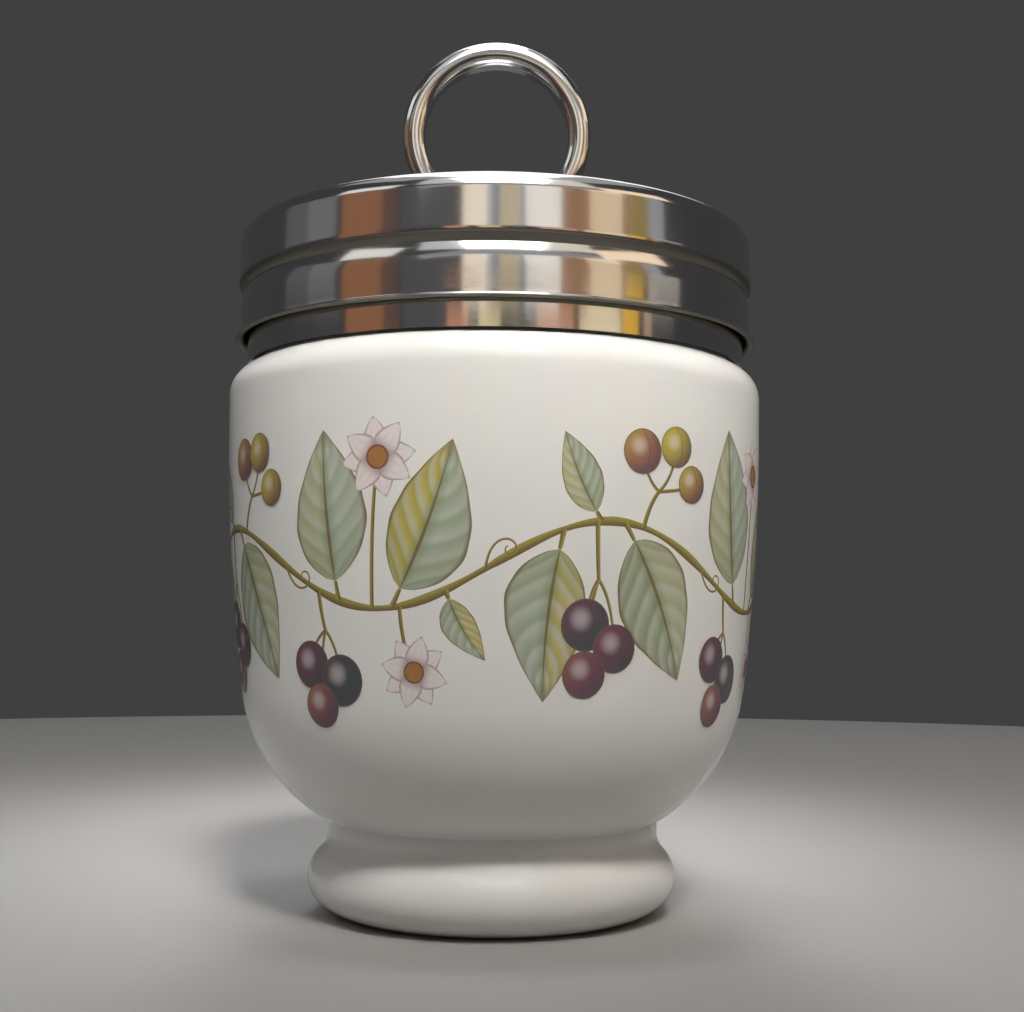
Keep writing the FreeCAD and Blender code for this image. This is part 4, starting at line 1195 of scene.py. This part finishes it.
# Lamps close to the coddler that its gloss doesn't mirror: as above, and then their spread in
# degrees, which lets their light fall off towards the foot.
FILLS = (
    ("front_fill", 12.0, 50.0, 0.40, 0.12, 0.10, "FFFEFC", 1.75, 21.0),
    ("left_fill", -110.0, 40.0, 0.45, 0.20, 0.20, "F8F9FC", 0.10, 40.0),
    ("right_fill", 110.0, 40.0, 0.45, 0.20, 0.20, "FFFAF2", 0.10, 40.0),
    ("top_fill", 0.0, 88.0, 0.50, 0.08, 0.08, "FCFDFF", 36.0, 180.0),
    ("back_fill", 184.0, 38.0, 0.42, 0.22, 0.22, "FCFCFF", 0.40, 32.0),
)
# The window, the wall and the warm things under it, which only the gloss mirrors: azimuth and
# width, lowest and highest elevation in degrees, colour and radiance.
CARD_DISTANCE = 0.8
CARDS = (
    (4.0, 30.0, 36.0, 71.0, "FFFFFF", 3.3),
    (4.0, 27.0, 75.0, 128.0, "FFFFFF", 2.4),
    (12.0, 100.0, 26.0, 36.0, "C6C8CB", 0.42),
    (-94.0, 15.0, 10.9, 26.0, "6A6B6E", 0.48),
    (-79.0, 15.0, 10.9, 26.0, "77797D", 0.72),
    (-58.5, 19.0, -4.0, 26.0, "9C602F", 0.75),
    (-45.0, 7.0, -4.0, 26.0, "6E4429", 0.5),
    (-29.0, 22.0, 8.0, 26.0, "77797D", 0.22),
    (-9.0, 9.5, 10.9, 26.0, "F3E3CC", 1.15),
    (-3.0, 3.0, 10.9, 26.0, "C9CDD4", 0.75),
    (0.4, 2.9, 10.9, 26.0, "9FA8B5", 0.5),
    (5.7, 7.8, 10.9, 26.0, "D9C6A0", 0.85),
    (11.1, 2.9, 10.9, 26.0, "A9B1BE", 0.55),
    (19.8, 14.5, 10.9, 26.0, "EFE9E0", 1.15),
    (34.0, 12.0, 10.9, 26.0, "A87449", 0.75),
    (47.0, 14.0, 10.9, 26.0, "EBCFA8", 0.95),
    (56.5, 5.0, 10.9, 26.0, "A8845A", 0.7),
    (63.0, 8.0, 11.8, 26.0, "B3983F", 0.6),
    (71.5, 8.0, 14.0, 26.0, "A5A9AD", 0.8),
    (76.0, 17.0, 10.9, 14.0, "B9B2A8", 0.85),
    (-16.0, 9.0, 3.0, 10.9, "E09A6E", 0.8),
    (-2.5, 9.0, 3.0, 10.9, "EBD49A", 0.9),
    (9.0, 5.0, 3.0, 10.9, "7F7A5C", 0.4),
    (25.5, 16.0, 3.0, 10.9, "E2A27C", 0.8),
    (46.0, 19.5, 3.0, 10.9, "EFDDB6", 1.0),
    (60.5, 8.0, 3.0, 11.8, "F0B81C", 0.9),
    (69.5, 4.0, 3.0, 10.9, "D9AE8C", 0.6),
)


def shade_floor():
    """Plain matt table top: pale, with a barely visible grain."""
    studio = settings().studio
    material, tree, shader = start_material("matt_table_top", studio.floor, Roughness=0.65)
    place = add_node(tree, "TexCoord", output="Object")
    grain = add_node(tree, "TexNoise", place, None, 1 / (2.5 * MM), 5.0)
    shade = add_node(tree, "Mix", add_node(tree, "MapRange", grain, 0.3, 0.7, 0.0, 0.08), studio.floor,
                     studio.backdrop, data_type="RGBA")
    tree.links.new(shade, shader.inputs["Base Color"])
    return material


class CODDLER_OT_studio(bpy.types.Operator):
    """Set up the table top, the lights and the camera"""

    bl_idname = "coddler.studio"
    bl_label = "Studio"

    def execute(self, context):
        scene, studio = context.scene, settings().studio
        scene.view_settings.view_transform = "Standard"
        start_clean()
        bpy.ops.mesh.primitive_circle_add(vertices=128, radius=studio.floor_radius, fill_type="NGON")
        floor = context.object
        floor.name = "table_top"
        floor.data.materials.append(shade_floor())
        self.light_world(scene, studio)
        for name, azimuth, elevation, distance, width, height, shade, bright in SOFT_BOXES:
            self.hang_lamp(name, azimuth, elevation, distance, (width, height), shade, bright)
        for azimuth, width, low, high, shade, bright in CARDS:
            size = (CARD_DISTANCE * math.radians(width), CARD_DISTANCE * math.radians(high - low))
            card = self.hang_lamp("card", azimuth, (low + high) / 2, CARD_DISTANCE, size, shade, bright)
            card.visible_diffuse = False
        for name, azimuth, elevation, distance, width, height, shade, bright, spread in FILLS:
            lamp = self.hang_lamp(name, azimuth, elevation, distance, (width, height), shade, bright)
            lamp.data.spread = math.radians(spread)
            lamp.visible_glossy = False
        self.set_camera(scene, studio)
        return {"FINISHED"}

    def light_world(self, scene, studio):
        """Even light from all round, and a plain grey for the camera, gloss and glass."""
        scene.world = bpy.data.worlds.new("studio")
        scene.world.use_nodes = True
        tree = scene.world.node_tree
        tree.nodes.clear()
        seen = add_node(tree, "LightPath", output="Is Camera Ray")
        for kind in ("Is Glossy Ray", "Is Transmission Ray"):
            seen = add_node(tree, "Math", seen, add_node(tree, "LightPath", output=kind), operation="MAXIMUM")
        light = add_node(tree, "Background", (1.0, 1.0, 1.0), studio.fill)
        plain = add_node(tree, "Background", studio.backdrop, 1.0)
        add_world = add_node(tree, "MixShader", seen, light, plain)
        out = tree.nodes.new("ShaderNodeOutputWorld")
        tree.links.new(add_world, out.inputs["Surface"])

    def hang_lamp(self, name, azimuth, elevation, distance, size, shade, bright):
        """An area lamp of the given radiance that faces the coddler."""
        start_clean()
        turn, rise = math.radians(azimuth), math.radians(elevation)
        away = Vector((math.sin(turn) * math.cos(rise), -math.cos(turn) * math.cos(rise), math.sin(rise)))
        bpy.ops.object.light_add(type="AREA", location=away * distance + Vector((0, 0, CUP_HIGH.z)))
        lamp = bpy.context.object
        lamp.name = name
        lamp.rotation_euler = (-away).to_track_quat("-Z", "Y").to_euler()
        lamp.data.shape = "RECTANGLE"
        lamp.data.size, lamp.data.size_y = size
        lamp.data.color = linear(shade)
        lamp.data.energy = bright * settings().studio.soft_light * math.pi * size[0] * size[1]
        return lamp

    def set_camera(self, scene, studio):
        """Low in front of the coddler, tilted up a little, with a small shift for the framing."""
        start_clean()
        bpy.ops.object.camera_add(location=(0.0, -studio.distance, studio.height))
        camera = bpy.context.object
        camera.name = "camera"
        camera.data.sensor_width = 36.0
        camera.data.lens = studio.lens
        camera.data.shift_y = studio.shift
        camera.data.clip_start = 10 * MM
        turned = (Matrix.Rotation(-studio.turn, 3, "Z") @ Matrix.Rotation(math.pi / 2 + studio.tilt, 3, "X")
                  @ Matrix.Rotation(studio.roll, 3, "Z"))
        camera.rotation_euler = turned.to_euler()
        scene.camera = camera


# -------------------------------------------------------------- add-on


class CoddlerSettings(bpy.types.PropertyGroup):
    """Everything that can be set in the sidebar."""

    cup: PointerProperty(type=CupSettings, name="Cup", description="Sizes of the cup")
    lid: PointerProperty(type=LidSettings, name="Lid", description="Sizes of the lid")
    garland: PointerProperty(type=GarlandSettings, name="Garland", description="The printed garland")
    finish: PointerProperty(type=FinishSettings, name="Finishes", description="Colours of the pieces")
    studio: PointerProperty(type=StudioSettings, name="Studio", description="Camera, floor and lights")


class CODDLER_PT_panel(bpy.types.Panel):
    """Lists the coddler's steps and settings"""

    bl_idname = "CODDLER_PT_panel"
    bl_label = "Egg coddler"
    bl_space_type = "VIEW_3D"
    bl_region_type = "UI"
    bl_category = "Coddler"

    def draw(self, context):
        layout = self.layout
        for step in STEPS:
            layout.operator(step.bl_idname)
        for name in ("cup", "lid", "garland", "finish", "studio"):
            group = getattr(context.scene.coddler, name)
            box = layout.box()
            box.label(text=name.capitalize())
            for setting in group.bl_rna.properties:
                if setting.identifier not in ("rna_type", "name"):
                    box.prop(group, setting.identifier)


STEPS = (CODDLER_OT_cup, CODDLER_OT_garland, CODDLER_OT_lid, CODDLER_OT_studio)
CLASSES = (CupSettings, LidSettings, GarlandSettings, FinishSettings, StudioSettings, CoddlerSettings,
           *STEPS, CODDLER_PT_panel)


def register():
    for cls in CLASSES:
        bpy.utils.register_class(cls)
    bpy.types.Scene.coddler = PointerProperty(type=CoddlerSettings)


def unregister():
    del bpy.types.Scene.coddler
    for cls in reversed(CLASSES):
        bpy.utils.unregister_class(cls)


def main():
    register()
    bpy.ops.coddler.cup()
    bpy.ops.coddler.garland()
    bpy.ops.coddler.lid()
    bpy.ops.coddler.studio()


if __name__ == "__main__":
    main()
